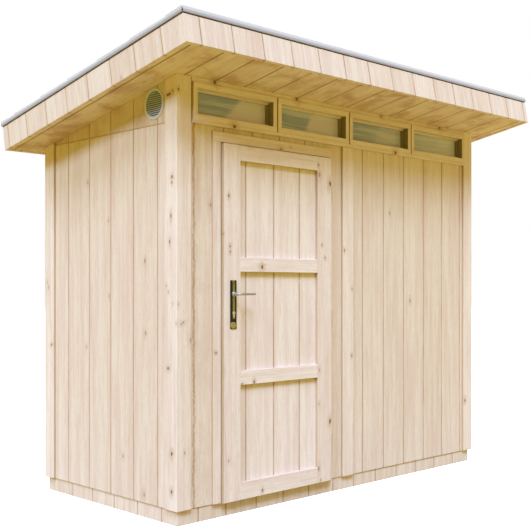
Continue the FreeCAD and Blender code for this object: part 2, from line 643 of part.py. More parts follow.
def lever(side, face, outward):
    """Build one lever: a collar, a stem out of the door, a bend and a level grip."""
    sign = "-" if outward < 0 else "+"
    collar_from = f"({face} {sign} collar_play)"
    collar_to = f"({collar_from} {sign} collar_depth)"
    low = collar_to if outward < 0 else collar_from
    collar = cylinder(f"lever_{side}_collar", SPINDLE_X, low, SPINDLE_Z, "collar_radius", "collar_depth", "y")
    centre = f"({face} {sign} lever_stand)"
    stem_low = f"({centre} + lever_bend)" if outward < 0 else collar_to
    stem = cylinder(f"lever_{side}_stem", SPINDLE_X, stem_low, SPINDLE_Z, "lever_radius",
                    "lever_stand - lever_bend - collar_play - collar_depth", "y")
    elbow = doc.addObject("Part::Torus", f"lever_{side}_elbow")
    elbow.setExpression("Radius1", bind("lever_bend"))
    elbow.setExpression("Radius2", bind("lever_radius"))
    elbow.Angle3 = GRID_DEGREES
    turn = 2 * GRID_DEGREES if outward < 0 else GRID_DEGREES
    elbow.Placement = FreeCAD.Placement(FreeCAD.Vector(), FreeCAD.Rotation(FreeCAD.Vector(0, 0, 1), turn))
    elbow_y = f"({centre} + lever_bend)" if outward < 0 else f"({centre} - lever_bend)"
    set_place(elbow, f"{SPINDLE_X} + lever_bend", elbow_y, SPINDLE_Z)
    grip = cylinder(f"lever_{side}_grip", f"{SPINDLE_X} + lever_bend", centre, SPINDLE_Z, "lever_radius",
                    "lever_reach - lever_bend", "x")
    return fuse(f"lever_{side}_solid", [collar, stem, elbow, grip])


def build_hinges():
    """Build three butt hinges: the pin and lower knuckle on the frame, the upper knuckle on the leaf."""
    frame_halves = []
    leaf_halves = []
    clear_y = f"({HINGE_Y} + knuckle_radius + knuckle_play)"
    flap_depth = (clear_y, f"{clear_y} + hinge_flap")
    tab_depth = (HINGE_Y, clear_y)
    frame_x = (f"{DOORWAY_RIGHT} - hinge_thick", DOORWAY_RIGHT)
    leaf_x = (LEAF_RIGHT, f"{LEAF_RIGHT} + hinge_thick")
    reach = "(leaf_height - 2 * hinge_at - hinge_height)"
    for index in range(HINGES):
        foot = f"({LEAF_FOOT} + hinge_at + {reach} * {index} / {HINGES - 1})"
        top = f"({foot} + hinge_height)"
        lower_top = f"({foot} + (hinge_height - knuckle_play) / 2)"
        upper_foot = f"({foot} + (hinge_height + knuckle_play) / 2)"
        half = "(hinge_height - knuckle_play) / 2"

        frame_halves.append(fuse(f"hinge_{index}_frame", [
            box(f"hinge_{index}_frame_flap", frame_x, flap_depth, (foot, top)),
            box(f"hinge_{index}_frame_tab", frame_x, tab_depth, (foot, lower_top)),
            cylinder(f"hinge_{index}_frame_knuckle", HINGE_X, HINGE_Y, foot, "knuckle_radius", half, "z"),
            cylinder(f"hinge_{index}_pin", HINGE_X, HINGE_Y, foot, "pin_radius", "hinge_height", "z"),
        ]))
        knuckle = cylinder(f"hinge_{index}_leaf_knuckle", HINGE_X, HINGE_Y, upper_foot, "knuckle_radius", half, "z")
        leaf_half = fuse(f"hinge_{index}_leaf", [
            box(f"hinge_{index}_leaf_flap", leaf_x, flap_depth, (foot, top)),
            box(f"hinge_{index}_leaf_tab", leaf_x, tab_depth, (upper_foot, top)),
            knuckle,
        ])
        bore = cylinder(f"hinge_{index}_bore", HINGE_X, HINGE_Y, foot, "pin_radius + pin_play",
                        "hinge_height + cut_past", "z")
        leaf_halves.append(cut(f"hinge_{index}_leaf_cut", leaf_half, bore))
    keep(group("hinges_frame", frame_halves), "hinge_frame_halves")
    keep(group("hinges_leaf", leaf_halves), "hinge_leaf_halves")


def build_vent():
    """Build the round grille: a rim, a collar in the hole and sloping slats."""
    x = f"({LEFT_BOARD} - vent_rim)"
    y = f"({FRONT} + vent_from_front)"
    z = f"({PANEL_TOP} + vent_up)"
    collar_radius = "(vent_hole - vent_play)"
    bore = f"({collar_radius} - vent_wall)"
    rim = cylinder("vent_rim_disc", x, y, z, "vent_radius", "vent_rim", "x")
    collar = cylinder("vent_collar", x, y, z, collar_radius, "vent_rim + board_thick", "x")
    opening = cylinder("vent_bore", f"{x} - cut_past", y, z, bore, "vent_rim + board_thick + 2 * cut_past", "x")
    ring = cut("vent_ring", fuse("vent_ring_solid", [rim, collar]), opening)
    slats = []
    for index in range(SLATS):
        slat = doc.addObject("Part::Box", f"vent_slat_{index}")
        slat.setExpression("Length", bind("vent_rim + board_thick"))
        slat.setExpression("Width", bind("2 * vent_radius"))
        slat.setExpression("Height", bind("vent_slat"))
        slat.Placement = FreeCAD.Placement(FreeCAD.Vector(), FreeCAD.Rotation(FreeCAD.Vector(0, 1, 0), SLAT_TILT))
        shift = index - (SLATS - 1) / 2
        set_place(slat, f"{x} + vent_slat", f"{y} - vent_radius", f"{z} + vent_pitch * {shift} - vent_slat")
        slats.append(slat)
    core = cylinder("vent_core", x, y, z, f"{bore} + vent_wall / 2", "vent_rim + board_thick", "x")
    blades = doc.addObject("Part::Common", "vent_blades")
    blades.Base = group("vent_slats", slats)
    blades.Tool = core
    keep(fuse("vent_solid", [ring, blades]), "vent_grille")


build_base()
build_posts()
build_walls()
build_frame()
build_doorway()
build_windows()
build_roof()
build_door()
build_lock()
build_hinges()
build_vent()
doc.recompute()

for item in doc.Objects:
    if {"Invalid", "Error"} & set(item.State):
        raise RuntimeError(f"{item.Name} did not build: {item.State}")
for piece in subparts:
    if piece.Shape.isNull() or not piece.Shape.isValid():
        raise RuntimeError(f"{piece.Label} has no valid shape")

os.makedirs("parts", exist_ok=True)
for piece in subparts:
    piece.Shape.exportStep(f"parts/{piece.Label}.step")
    print(piece.Label, len(piece.Shape.Solids), round(piece.Shape.Volume / 1e6, 3))
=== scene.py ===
import math
import random

import bmesh
import bpy
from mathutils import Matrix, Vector


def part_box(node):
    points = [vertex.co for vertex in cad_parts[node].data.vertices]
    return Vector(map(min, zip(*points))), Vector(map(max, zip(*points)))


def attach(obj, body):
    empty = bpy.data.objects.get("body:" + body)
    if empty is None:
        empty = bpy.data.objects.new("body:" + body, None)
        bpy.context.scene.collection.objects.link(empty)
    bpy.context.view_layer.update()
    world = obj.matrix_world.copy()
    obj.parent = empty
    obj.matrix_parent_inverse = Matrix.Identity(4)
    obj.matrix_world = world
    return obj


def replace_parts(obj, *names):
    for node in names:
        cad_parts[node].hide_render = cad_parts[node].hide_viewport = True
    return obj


# Garden storage shed: real boards, glazing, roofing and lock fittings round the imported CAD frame.
# Metres, row frame: origin on the ground under the middle of the roof, front to -Y, +Z up.

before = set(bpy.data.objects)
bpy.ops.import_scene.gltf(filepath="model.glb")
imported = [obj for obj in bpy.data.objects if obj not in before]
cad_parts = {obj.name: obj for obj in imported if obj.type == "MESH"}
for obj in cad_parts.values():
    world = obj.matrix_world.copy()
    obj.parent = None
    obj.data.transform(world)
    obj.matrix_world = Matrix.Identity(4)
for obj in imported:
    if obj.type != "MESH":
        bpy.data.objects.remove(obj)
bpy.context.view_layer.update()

X = Vector((1, 0, 0))
Y = Vector((0, 1, 0))
Z = Vector((0, 0, 1))

# Shared places, from the CAD boxes
POST_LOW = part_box("corner_post_front_left")[0]
REAR_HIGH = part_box("corner_post_rear_right")[1]
BODY_LEFT = POST_LOW.x
BODY_RIGHT = REAR_HIGH.x
BODY_FRONT = POST_LOW.y
BODY_REAR = REAR_HIGH.y
BODY_MIDDLE = (BODY_FRONT + BODY_REAR) / 2
VENT_LOW, VENT_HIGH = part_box("vent_grille")
VENT = (VENT_LOW + VENT_HIGH) / 2
RIM = (VENT_HIGH.z - VENT_LOW.z) / 2
MOUTH = RIM - 0.0125

# The roof's slope, with the directions down it and square to it
ROOF_FALL = 0.220
BODY_DEPTH = 1.148
SLOPE = math.atan2(ROOF_FALL, BODY_DEPTH)
DOWN = Vector((0, math.cos(SLOPE), -math.sin(SLOPE)))
LIFT = Vector((0, math.sin(SLOPE), math.cos(SLOPE)))

# Board joints: distances from the body's left side, from its front, or down the slope
BOARD = 0.1886
FLOOR_BOARD = 0.12
FRONT_JOINTS = [1.335, 1.521, 1.709, 1.903, 2.090, 2.283]
OVER_DOOR_JOINTS = [0.300, 0.489, 0.678, 0.867]
REAR_JOINTS = [0.090 + BOARD * step for step in range(1, 12)]
SIDE_JOINTS = [0.159, 0.350, 0.541, 0.732, 0.930]
LEAF_JOINTS = [0.435, 0.628, 0.815]
FLOOR_JOINTS = [0.031 + FLOOR_BOARD * step for step in range(1, 10)]
PLINTH_FRONT_JOINTS = [0.144, 0.319, 0.521, 0.712, 0.900, 1.094, 1.264, 1.455, 1.645, 1.832, 2.017, 2.212]
PLINTH_SIDE_JOINTS = [0.134, 0.324, 0.519, 0.712, 0.898, 1.101]
FASCIA_JOINTS = [0.093 + BOARD * step for step in range(-1, 14)]
FASCIA_SIDE_JOINTS = [0.1605, 0.3623, 0.5515, 0.7453, 0.9368, 1.1303, 1.3274, 1.5187]
LINING_JOINTS = [0.049 + BOARD * step for step in range(-1, 14)]

# Bevels
EDGE = 0.0015
POST_EDGE = 0.003
LINING_EDGE = 0.003
STILE_EDGE = 0.002
FASCIA_EDGE = 0.001

# Boards: gap, half of the tongue's width, how much of their thickness it lacks, least width of an end board,
# how far below a seam the foot of a wall that ends at it lies at least, and a rim too far off to show
GAP = 0.0016
TONGUE = 0.006
TONGUE_LACK = 0.6
SLIVER = 0.004
SEAM_REACH = 0.01
FAR = 1.0

# How close two points, a point and a face, or two faces have to be to count as one
JOIN = 1e-5
TOUCH = 1e-4
CUT = 1e-6
FLAT_ANGLE = math.radians(1)
EDGE_ANGLE = 0.5
SMOOTH_ANGLE = math.radians(35)

# Painted shade on faces, from light to dark: a rail's top, a member's side, a reveal
RAIL_TOP_SHADE_LEVEL = 0.16
SIDE_SHADE_LEVEL = 0.5
REVEAL = 1.0

draw = random.Random(7)


# Geometry

def mesh_of(node):
    """Copy a CAD node's mesh with its shared corners joined."""
    bm = bmesh.new()
    bm.from_mesh(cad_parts[node].data)
    bmesh.ops.remove_doubles(bm, verts=bm.verts, dist=JOIN)
    return bm


def solid_of(node):
    """Copy a CAD node's mesh with its flat faces made whole."""
    bm = mesh_of(node)
    bmesh.ops.dissolve_limit(bm, angle_limit=FLAT_ANGLE, verts=bm.verts, edges=bm.edges)
    return bm


def reach(node, direction):
    """Give where a CAD node starts and ends along a direction."""
    places = [vert.co.dot(direction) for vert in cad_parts[node].data.vertices]
    return min(places), max(places)


def box_solid(low, high):
    """Make a box between two corners."""
    bm = bmesh.new()
    bmesh.ops.create_cube(bm, size=1)
    for vert in bm.verts:
        vert.co = Vector([a if c < 0 else b for a, b, c in zip(low, high, vert.co)])
    return bm


def slice_solid(source, direction, low, high):
    """Keep what lies between two planes square to a direction."""
    bm = source.copy()
    for place, side in ((low, -1), (high, 1)):
        if place is None:
            continue
        geometry = bm.verts[:] + bm.edges[:] + bm.faces[:]
        result = bmesh.ops.bisect_plane(bm, geom=geometry, dist=CUT, plane_co=direction * place,
                                        plane_no=direction * side, clear_outer=True)
        rim = [item for item in result["geom_cut"] if isinstance(item, bmesh.types.BMEdge)]
        if rim:
            bmesh.ops.edgenet_fill(bm, edges=rim)
    return bm


def soften(bm, width, spared=None):
    """Take off the sharp edges, apart from those that are spared."""
    bmesh.ops.recalc_face_normals(bm, faces=bm.faces)
    if not width:
        return
    edges = [edge for edge in bm.edges if len(edge.link_faces) == 2 and edge.calc_face_angle(0) > EDGE_ANGLE]
    if spared:
        edges = [edge for edge in edges if not all(spared(vert.co) for vert in edge.verts)]
    if edges:
        bmesh.ops.bevel(bm, geom=edges, offset=width, segments=1, profile=0.5, affect="EDGES",
                        clamp_overlap=True)


class Pile:
    """Boards that make one piece, each with its own run of grain and its own tone."""

    def __init__(self):
        self.points = []
        self.faces = []
        self.grain = []
        self.tone = []
        self.rim = []
        self.painted_shade = []

    def add(self, bm, along, normal, width=EDGE, spared=None, rim=None, painted_shade=None):
        soften(bm, width, spared)
        across = along.cross(normal)
        shift = Vector([draw.uniform(-9, 9) for axis in range(3)])
        tone = draw.random()
        first = len(self.points)
        bm.verts.index_update()
        for vert in bm.verts:
            self.points.append(vert.co.copy())
            place = Vector((vert.co.dot(across), vert.co.dot(normal), vert.co.dot(along)))
            self.grain.append(place + shift)
            self.tone.append(tone)
            self.rim.append(rim(vert.co) if rim else (FAR, FAR, FAR))
            self.painted_shade.append(painted_shade(vert.co) if painted_shade else 0.0)
        for face in bm.faces:
            self.faces.append([first + vert.index for vert in face.verts])
        bm.free()

    def build(self, name, body, material):
        mesh = bpy.data.meshes.new(name)
        mesh.from_pydata(self.points, [], self.faces)
        for key, vectors in (("grain", self.grain), ("rim", self.rim)):
            flat = [part for place in vectors for part in place]
            mesh.attributes.new(key, "FLOAT_VECTOR", "POINT").data.foreach_set("vector", flat)
        for key, values in (("tone", self.tone), ("painted_shade", self.painted_shade)):
            mesh.attributes.new(key, "FLOAT", "POINT").data.foreach_set("value", values)
        mesh.validate()
        piece = bpy.data.objects.new(name, mesh)
        bpy.context.scene.collection.objects.link(piece)
        mesh.materials.append(material)
        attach(piece, body)
        return piece


def boards(node, body, material, along, normal, direction=None, joints=(), gap=GAP, width=EDGE, spared=None,
           seam=None, painted_shade=None):
    """Replace a CAD node by its separate boards; a seam is the level at which their ends meet others."""
    source = solid_of(node)
    if seam is not None:
        side = 1 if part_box(node)[0].z + SEAM_REACH < seam else -1
    pile = Pile()
    if direction is None:
        pile.add(source, along, normal, width, spared, painted_shade=painted_shade)
    else:
        spots = [vert.co.dot(direction) for vert in source.verts]
        places = [place for place in sorted(joints) if min(spots) + SLIVER < place < max(spots) - SLIVER]
        starts = [None] + [place + gap / 2 for place in places]
        ends = [place - gap / 2 for place in places] + [None]

        for start, end in zip(starts, ends):
            def rim(point, start=start, end=end):
                place = point.dot(direction)
                return (FAR if start is None else place - start, FAR if end is None else end - place,
                        FAR if seam is None else side * (seam - point.z))

            board = slice_solid(source, direction, start, end)
            pile.add(board, along, normal, width, spared, rim, painted_shade)
        depth = [vert.co.dot(normal) for vert in source.verts]
        middle = (min(depth) + max(depth)) / 2
        for place in places:
            tongue = slice_solid(source, direction, place - TONGUE, place + TONGUE)
            for vert in tongue.verts:
                vert.co -= normal * (vert.co.dot(normal) - middle) * TONGUE_LACK
            pile.add(tongue, along, normal, 0, rim=lambda point: (0, 0, 0))
        source.free()
    piece = pile.build(node + "_wood", body, material)
    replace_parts(piece, node)
    return piece


def from_left(joints):
    """Turn distances from the body's left side into places."""
    return [BODY_LEFT + joint for joint in joints]


def from_front(joints):
    """Turn distances from the body's front into places."""
    return [BODY_FRONT + joint for joint in joints]


# Materials

class Tree:
    """The nodes of a material or of the world, added by short calls."""

    def __init__(self, owner, shader="Principled BSDF"):
        owner.use_nodes = True
        self.owner = owner
        self.nodes = owner.node_tree.nodes
        self.links = owner.node_tree.links
        self.shader = self.nodes[shader]

    def feed(self, socket, value):
        if isinstance(value, bpy.types.NodeSocket):
            self.links.new(value, socket)
        else:
            socket.default_value = value

    def set(self, **values):
        for key, value in values.items():
            self.feed(self.shader.inputs[key.replace("_", " ")], value)

    def node(self, kind, inputs=None, **settings):
        node = self.nodes.new(kind)
        for key, value in settings.items():
            setattr(node, key, value)
        for key, value in (inputs or {}).items():
            self.feed(node.inputs[key], value)
        return node

    def attribute(self, name, output):
        return self.node("ShaderNodeAttribute", attribute_name=name).outputs[output]

    def place(self):
        return self.node("ShaderNodeTexCoord").outputs["Object"]

    def stretch(self, vector, scale):
        return self.node("ShaderNodeMapping", {"Vector": vector, "Scale": scale}).outputs[0]

    def split(self, vector):
        return self.node("ShaderNodeSeparateXYZ", {0: vector}).outputs

    def vector(self, kind, first, second, output="Vector"):
        return self.node("ShaderNodeVectorMath", {0: first, 1: second}, operation=kind).outputs[output]

    def noise(self, vector, scale, detail=3, roughness=0.5, distortion=0, output="Fac"):
        values = {"Vector": vector, "Scale": scale, "Detail": detail, "Roughness": roughness,
                  "Distortion": distortion}
        return self.node("ShaderNodeTexNoise", values).outputs[output]

    def spread(self, value, low, high, start=0, end=1, smooth=False):
        kind = "SMOOTHSTEP" if smooth else "LINEAR"
        values = {"Value": value, "From Min": low, "From Max": high, "To Min": start, "To Max": end}
        return self.node("ShaderNodeMapRange", values, interpolation_type=kind).outputs[0]

    def math(self, kind, first, second=0.0):
        return self.node("ShaderNodeMath", {0: first, 1: second}, operation=kind).outputs[0]

    def times(self, first, second):
        return self.math("MULTIPLY", first, second)

    def minus(self, first, second):
        return self.math("SUBTRACT", first, second)

    def mix(self, share, first, second):
        return self.node("ShaderNodeMix", {0: share, 6: first, 7: second}, data_type="RGBA").outputs[2]

    def bump(self, height, strength, distance):
        values = {"Height": height, "Strength": strength, "Distance": distance}
        self.set(Normal=self.node("ShaderNodeBump", values).outputs[0])


def colour(red, green, blue):
    """Turn a colour of 0 to 255 into the linear one that the nodes take."""
    linear = []
    for value in (red, green, blue):
        part = value / 255
        linear.append(part / 12.92 if part < 0.04045 else ((part + 0.055) / 1.055) ** 2.4)
    return (*linear, 1)


def blend(first, second, share):
    """Mix two colours."""
    return (*(a + (b - a) * share for a, b in zip(first[:3], second[:3])), 1)


# Kinds of timber
PLANED = colour(244, 231, 220)
LEAF = colour(250, 239, 233)
SAWN = colour(234, 220, 204)
EDGING = colour(231, 216, 197)
LINING = colour(240, 223, 199)
# The gable boards are darker and more golden: painted shade for the eaves' shadow on the gables
SHADED_GABLE = colour(216, 198, 168)

# What shows in them: grain, joints and knots, and painted shade beside joints, on sides and in reveals
CREAM = colour(250, 240, 224)
ROSE = colour(229, 205, 190)
STRAW = colour(230, 208, 180)
HEART = colour(184, 140, 108)
PAINTED_JOINT_SHADE = colour(206, 168, 122)
JOINT = colour(176, 134, 84)
LINING_JOINT = colour(132, 100, 58)
WORN_SEAM = colour(172, 132, 88)
SIDE_SHADE_COLOUR = colour(180, 146, 92)
REVEAL_SHADE = colour(130, 120, 86)
KNOT_HALO = colour(198, 160, 118)
KNOT_CORE = colour(100, 54, 36)
SMALL_KNOT = colour(140, 86, 60)


def worn_seam(tree, shade, place):
    """Mark a worn, beaded line that wavers about a place along X."""
    wander = tree.noise(tree.stretch(tree.place(), (0, 0, 1)), 7, 4, 0.7)
    beads = tree.noise(tree.stretch(tree.place(), (4, 1, 1)), 45, 2, 0.6)
    line = tree.spread(wander, 0.25, 0.75, place - 0.012, place + 0.012)
    off = tree.math("ABSOLUTE", tree.minus(tree.split(tree.place())[0], line))
    mark = tree.spread(off, 0.010, 0.002, 0, 1, True)
    mark = tree.times(mark, tree.spread(beads, 0.35, 0.6, 0.2, 0.75))
    return tree.mix(mark, shade, WORN_SEAM)


def placed_knots(tree, shade, knots):
    """Add knots at given places, each with a dark core and a paler halo."""
    waver = tree.spread(tree.noise(tree.place(), 90, 2), 0.3, 0.7, 0.75, 1.3)
    core = halo = 0.0
    for x, y, z, size, (squash, depth) in knots:
        spot = tree.stretch(tree.place(), (1, 1, squash))
        gap = tree.times(tree.vector("DISTANCE", spot, (x, y, z * squash), "Value"), waver)
        core = tree.math("MAXIMUM", core, tree.spread(gap, size * 0.8, size * 0.25, 0, depth, True))
        halo = tree.math("MAXIMUM", halo, tree.spread(gap, size * 2.6, size * 0.9, 0, depth, True))
    shade = tree.mix(tree.times(halo, 0.4), shade, KNOT_HALO)
    return tree.mix(tree.times(core, 0.88), shade, KNOT_CORE)


def scattered_knots(tree, shade, base, grain, mottle):
    """Add small knots to some cells of the boards' grain, with darker grain round each."""
    parts = tree.split(grain)
    spots = tree.node("ShaderNodeCombineXYZ", {0: parts[0], 1: tree.times(parts[2], 0.55)}).outputs[0]
    cells = tree.node("ShaderNodeTexVoronoi", {"Vector": spots, "Scale": 4.6}, voronoi_dimensions="2D")
    picked = tree.node("ShaderNodeSeparateColor", {0: cells.outputs["Color"]})
    there = tree.spread(picked.outputs[0], 0.70, 0.72)
    size = tree.spread(picked.outputs[1], 0, 1, 0.016, 0.034)
    near = tree.math("DIVIDE", cells.outputs["Distance"], size)
    near = tree.times(near, tree.spread(mottle, 0.3, 0.7, 0.7, 1.4))
    swirl = tree.times(tree.spread(near, 4.5, 1.2, 0, 1, True), there)
    shade = tree.mix(tree.times(swirl, 0.3), shade, blend(base, HEART, 0.7))
    spot = tree.times(tree.spread(near, 1.3, 0.5, 0, 1, True), there)
    return tree.mix(tree.times(spot, 0.55), shade, SMALL_KNOT)


def joint_shades(tree, shade, mottle, joint, joint_width):
    """Darken the boards along their joints, with a band of painted shade beside each, and paint shade on
    marked sides and in reveals.
    """
    before, after, above = tree.split(tree.attribute("rim", "Vector"))
    near = tree.math("MINIMUM", tree.math("MINIMUM", before, after), above)
    near = tree.math("ADD", near, tree.spread(mottle, 0.35, 0.65, -0.0012, 0.0012))
    # Painted shade in a band 12 mm wide beside each joint and seam; the narrow dark line in the joint is its
    # own colour
    shade = tree.mix(tree.spread(near, 0.012, 0.001, 0, 0.22, True), shade, PAINTED_JOINT_SHADE)
    shade = tree.mix(tree.spread(near, joint_width, 0.0006, 0, 0.75, True), shade, joint)
    # Painted shade on marked faces: lighter on rail tops and sides, darkest in reveals
    painted_shade = tree.attribute("painted_shade", "Fac")
    shade = tree.mix(tree.spread(painted_shade, 0, SIDE_SHADE_LEVEL, 0, 0.75), shade, SIDE_SHADE_COLOUR)
    return tree.mix(tree.spread(painted_shade, SIDE_SHADE_LEVEL, REVEAL, 0, 0.9), shade, REVEAL_SHADE)


def timber(name, base, knots=(), attributes=True, streaks=1.0, clouds=0.0, seam=None, joint=JOINT,
           joint_width=0.0032):
    """Make planed softwood with streaks, growth lines, fibres, mottling and knots, and painted shade by
    joints, on marked sides and in reveals.

    Clouds are darker patches; a seam is the place along X of a worn line; a joint is the shade in the gaps.
    """
    tree = Tree(bpy.data.materials.new(name))
    if attributes:
        grain = tree.attribute("grain", "Vector")
        tone = tree.attribute("tone", "Fac")
    else:
        grain = tree.place()
        tone = tree.noise(grain, 1.5, 0)
    bend = tree.noise(tree.stretch(grain, (1, 1, 0.3)), 5, 1, output="Color")
    sway = tree.vector("MULTIPLY", bend, (0.012, 0.012, 0))
    long = tree.stretch(tree.vector("ADD", grain, sway), (1, 1, 0.05))
    streak = tree.noise(long, 32, 3, 0.6)
    speck = tree.noise(tree.stretch(grain, (1, 1, 0.5)), 140, 3, 0.7)
    mottle = tree.noise(tree.stretch(grain, (1, 1, 0.3)), 26, 4, 0.65)
    line = tree.noise(long, 150, 2, 0.55, 0.3)
    fibre = tree.noise(tree.stretch(grain, (1, 1, 0.06)), 420, 2, 0.6)
    values = {"Vector": long, "Scale": 34, "Distortion": 3, "Detail": 2, "Detail Scale": 0.7}
    ring = tree.node("ShaderNodeTexWave", values, wave_type="BANDS", bands_direction="X").outputs["Fac"]
    shade = tree.mix(tree.spread(streak, 0.34, 0.68, smooth=True), blend(base, CREAM, 0.35 * streaks),
                     blend(base, ROSE, 0.5 * streaks))
    for share, tint in (
            (tree.spread(mottle, 0.5, 0.78, 0, 0.45), blend(base, STRAW, 0.8)),
            (tree.spread(speck, 0.45, 0.75, 0, 0.28), blend(base, HEART, 0.5)),
            (tree.times(tree.math("POWER", ring, 4), 0.13), blend(base, HEART, 0.9)),
            (tree.spread(line, 0.5, 0.75, 0, 0.26, True), blend(base, HEART, 0.8)),
            (tree.spread(fibre, 0.42, 0.8, 0, 0.2), blend(base, HEART, 0.8))):
        shade = tree.mix(share, shade, tint)
    values = {"Color": shade, "Saturation": tree.spread(tone, 0, 1, 0.92, 1.08),
              "Value": tree.spread(tone, 0, 1, 1.015, 0.965)}
    shade = tree.node("ShaderNodeHueSaturation", values).outputs[0]
    if clouds:
        cloud = tree.noise(tree.place(), 7, 4, 0.6, 0.4)
        shade = tree.mix(tree.spread(cloud, 0.42, 0.68, 0, clouds, True), shade, HEART)
    if seam:
        shade = worn_seam(tree, shade, seam)
    if knots:
        shade = placed_knots(tree, shade, knots)
    if attributes:
        shade = scattered_knots(tree, shade, base, grain, mottle)
        shade = joint_shades(tree, shade, mottle, joint, joint_width)
    tree.set(Base_Color=shade, Roughness=tree.spread(fibre, 0.3, 0.7, 0.55, 0.7), Specular_IOR_Level=0.25)
    tree.bump(tree.math("ADD", tree.times(line, 0.6), fibre), 0.3, 0.0005)
    return tree.owner


# Faces that carry knots, the worn seam's place along X, and the kinds of knots: each one's squash in height
# and its darkness
LEAF_FACE = -0.5101
FRAME_FACE = -0.5001
POST_FACE = -0.4951
POST_SIDE = -1.2
SEAM_PLACE = -1.087
LONG = (0.6, 1)
FAINT = (0.6, 0.45)
ROUND = (1, 1)
PALE = (1, 0.65)
FLAT = (1.4, 1)
TALL = (0.33, 1)

LEAF_KNOTS = [(x, LEAF_FACE, z, size, kind) for x, z, size, kind in (
    (-0.8924, 1.5428, 0.008, LONG), (-0.8833, 1.3010, 0.007, LONG), (-0.8833, 1.2746, 0.006, LONG),
    (-0.6698, 1.2051, 0.015, ROUND), (-0.7245, 0.6374, 0.009, LONG), (-0.6678, 0.0954, 0.008, LONG),
    (-0.8930, 0.2717, 0.010, FAINT), (-0.1653, 1.6568, 0.015, LONG), (-0.1661, 0.3872, 0.014, LONG),
    (-0.2301, 1.3277, 0.006, LONG), (-0.2065, 1.2594, 0.006, LONG), (-0.2403, 0.0848, 0.005, LONG),
    (-0.2575, 1.7488, 0.006, LONG), (-0.2497, 0.6670, 0.011, FAINT), (-0.2536, 0.4879, 0.008, FAINT))]
POST_KNOTS = [(POST_SIDE, y, z, size, kind) for y, z, size, kind in (
    (-0.4617, 1.6115, 0.009, LONG), (-0.4605, 1.5865, 0.007, LONG), (-0.4536, 1.4326, 0.007, TALL),
    (-0.4454, 1.3130, 0.006, TALL), (-0.4602, 0.3359, 0.011, LONG), (-0.4580, 0.1604, 0.010, LONG),
    (-0.4290, 1.9945, 0.017, FLAT), (-0.4455, 1.9965, 0.016, FLAT), (-0.4675, 2.0080, 0.006, LONG),
    (-0.4337, 1.0830, 0.008, FAINT), (-0.4202, 1.1098, 0.007, FAINT), (-0.4670, 1.0279, 0.006, FAINT),
    (-0.4930, 0.9376, 0.007, FAINT), (-0.4299, 0.7284, 0.012, PALE), (-0.4370, 0.7284, 0.012, PALE),
    (0.6257, 1.1309, 0.008, FAINT), (0.6144, 1.1037, 0.010, FAINT), (0.5826, 0.7930, 0.014, PALE))]
POST_KNOTS += [(x, POST_FACE, z, size, kind) for x, z, size, kind in (
    (-1.189, 2.0130, 0.007, LONG), (-1.1891, 1.0267, 0.007, FAINT), (-1.1715, 0.9341, 0.008, PALE),
    (-1.1597, 0.9420, 0.009, PALE), (-1.1168, 0.8592, 0.013, FAINT), (1.1242, 0.3878, 0.011, LONG),
    (-0.032, 1.3045, 0.007, LONG), (0.0307, 1.0944, 0.006, LONG), (0.029, 0.7285, 0.007, LONG))]
TRIM_KNOTS = [
    (-0.8528, LEAF_FACE, 1.8802, 0.020, ROUND), (0.3992, LEAF_FACE, 1.8783, 0.020, ROUND),
    (-0.9688, FRAME_FACE, 2.0788, 0.019, ROUND), (-0.4068, FRAME_FACE, 2.0779, 0.020, ROUND),
    (0.2863, FRAME_FACE, 2.0773, 0.015, ROUND), (0.8529, FRAME_FACE, 2.0791, 0.020, ROUND),
    (-0.9607, POST_FACE, 0.7916, 0.009, ROUND)]

wall_wood = timber("wall_boards", SAWN, streaks=1.2)
gable_wood = timber("gable_boards", SHADED_GABLE, streaks=1.2, clouds=0.35)
edge_wood = timber("edge_boards", EDGING, streaks=1.2, clouds=0.12, seam=SEAM_PLACE)
lining_wood = timber("lining_boards", LINING, streaks=1.2, clouds=0.6, joint=LINING_JOINT, joint_width=0.0055)
post_wood = timber("post_timber", PLANED, POST_KNOTS)
leaf_wood = timber("leaf_timber", LEAF, LEAF_KNOTS)
trim_wood = timber("trim_timber", PLANED, TRIM_KNOTS)
frame_wood = timber("frame_timber", SAWN, attributes=False)


# Panes: where the first starts, their spacing, and the height of their middle
PANE_START = -1.110
PANE_PITCH = 0.555
PANE_LEVEL = 1.975


def glass_material():
    """Make glass with painted reflections: soft pale bands, a paler patch to the right in each pane,
    strongest in two panes, and all panes paler towards the right.
    """
    tree = Tree(bpy.data.materials.new("window_panes"))
    place = tree.place()
    parts = tree.split(place)
    across = parts[0]
    values = {"Value": across, "From Min": PANE_START, "From Max": PANE_START + PANE_PITCH}
    along = tree.math("FRACT", tree.node("ShaderNodeMapRange", values, clamp=False).outputs[0])
    wave = tree.spread(tree.noise(place, 4, 1), 0.3, 0.7, -0.09, 0.09)
    lean = tree.times(tree.minus(parts[2], PANE_LEVEL), 1.2)
    edge = tree.math("ADD", tree.minus(along, lean), wave)
    # Painted reflection: a paler patch under a wavering, leaning edge in each pane, full in the two left
    # panes
    painted_patch = tree.spread(edge, 0.50, 0.58, 0, 1, True)
    painted_patch = tree.times(painted_patch, tree.spread(across, -0.05, 0.10, 1, 0.35))
    # Painted reflection: soft pale bands across the panes
    bands = tree.noise(tree.stretch(place, (0.6, 1, 9)), 4, 2, 0.5, 0.6)
    shade = tree.mix(painted_patch, colour(160, 172, 214), colour(226, 216, 244))
    shade = tree.mix(tree.spread(bands, 0.42, 0.62, 0, 0.6, True), shade, colour(224, 230, 250))
    # Painted reflection: all panes paler towards the right
    shade = tree.mix(tree.spread(across, 0.0, 1.1, 0.05, 0.6), shade, colour(232, 234, 250))
    tree.set(Base_Color=shade, Roughness=0.08, Alpha=0.92)
    return tree.owner


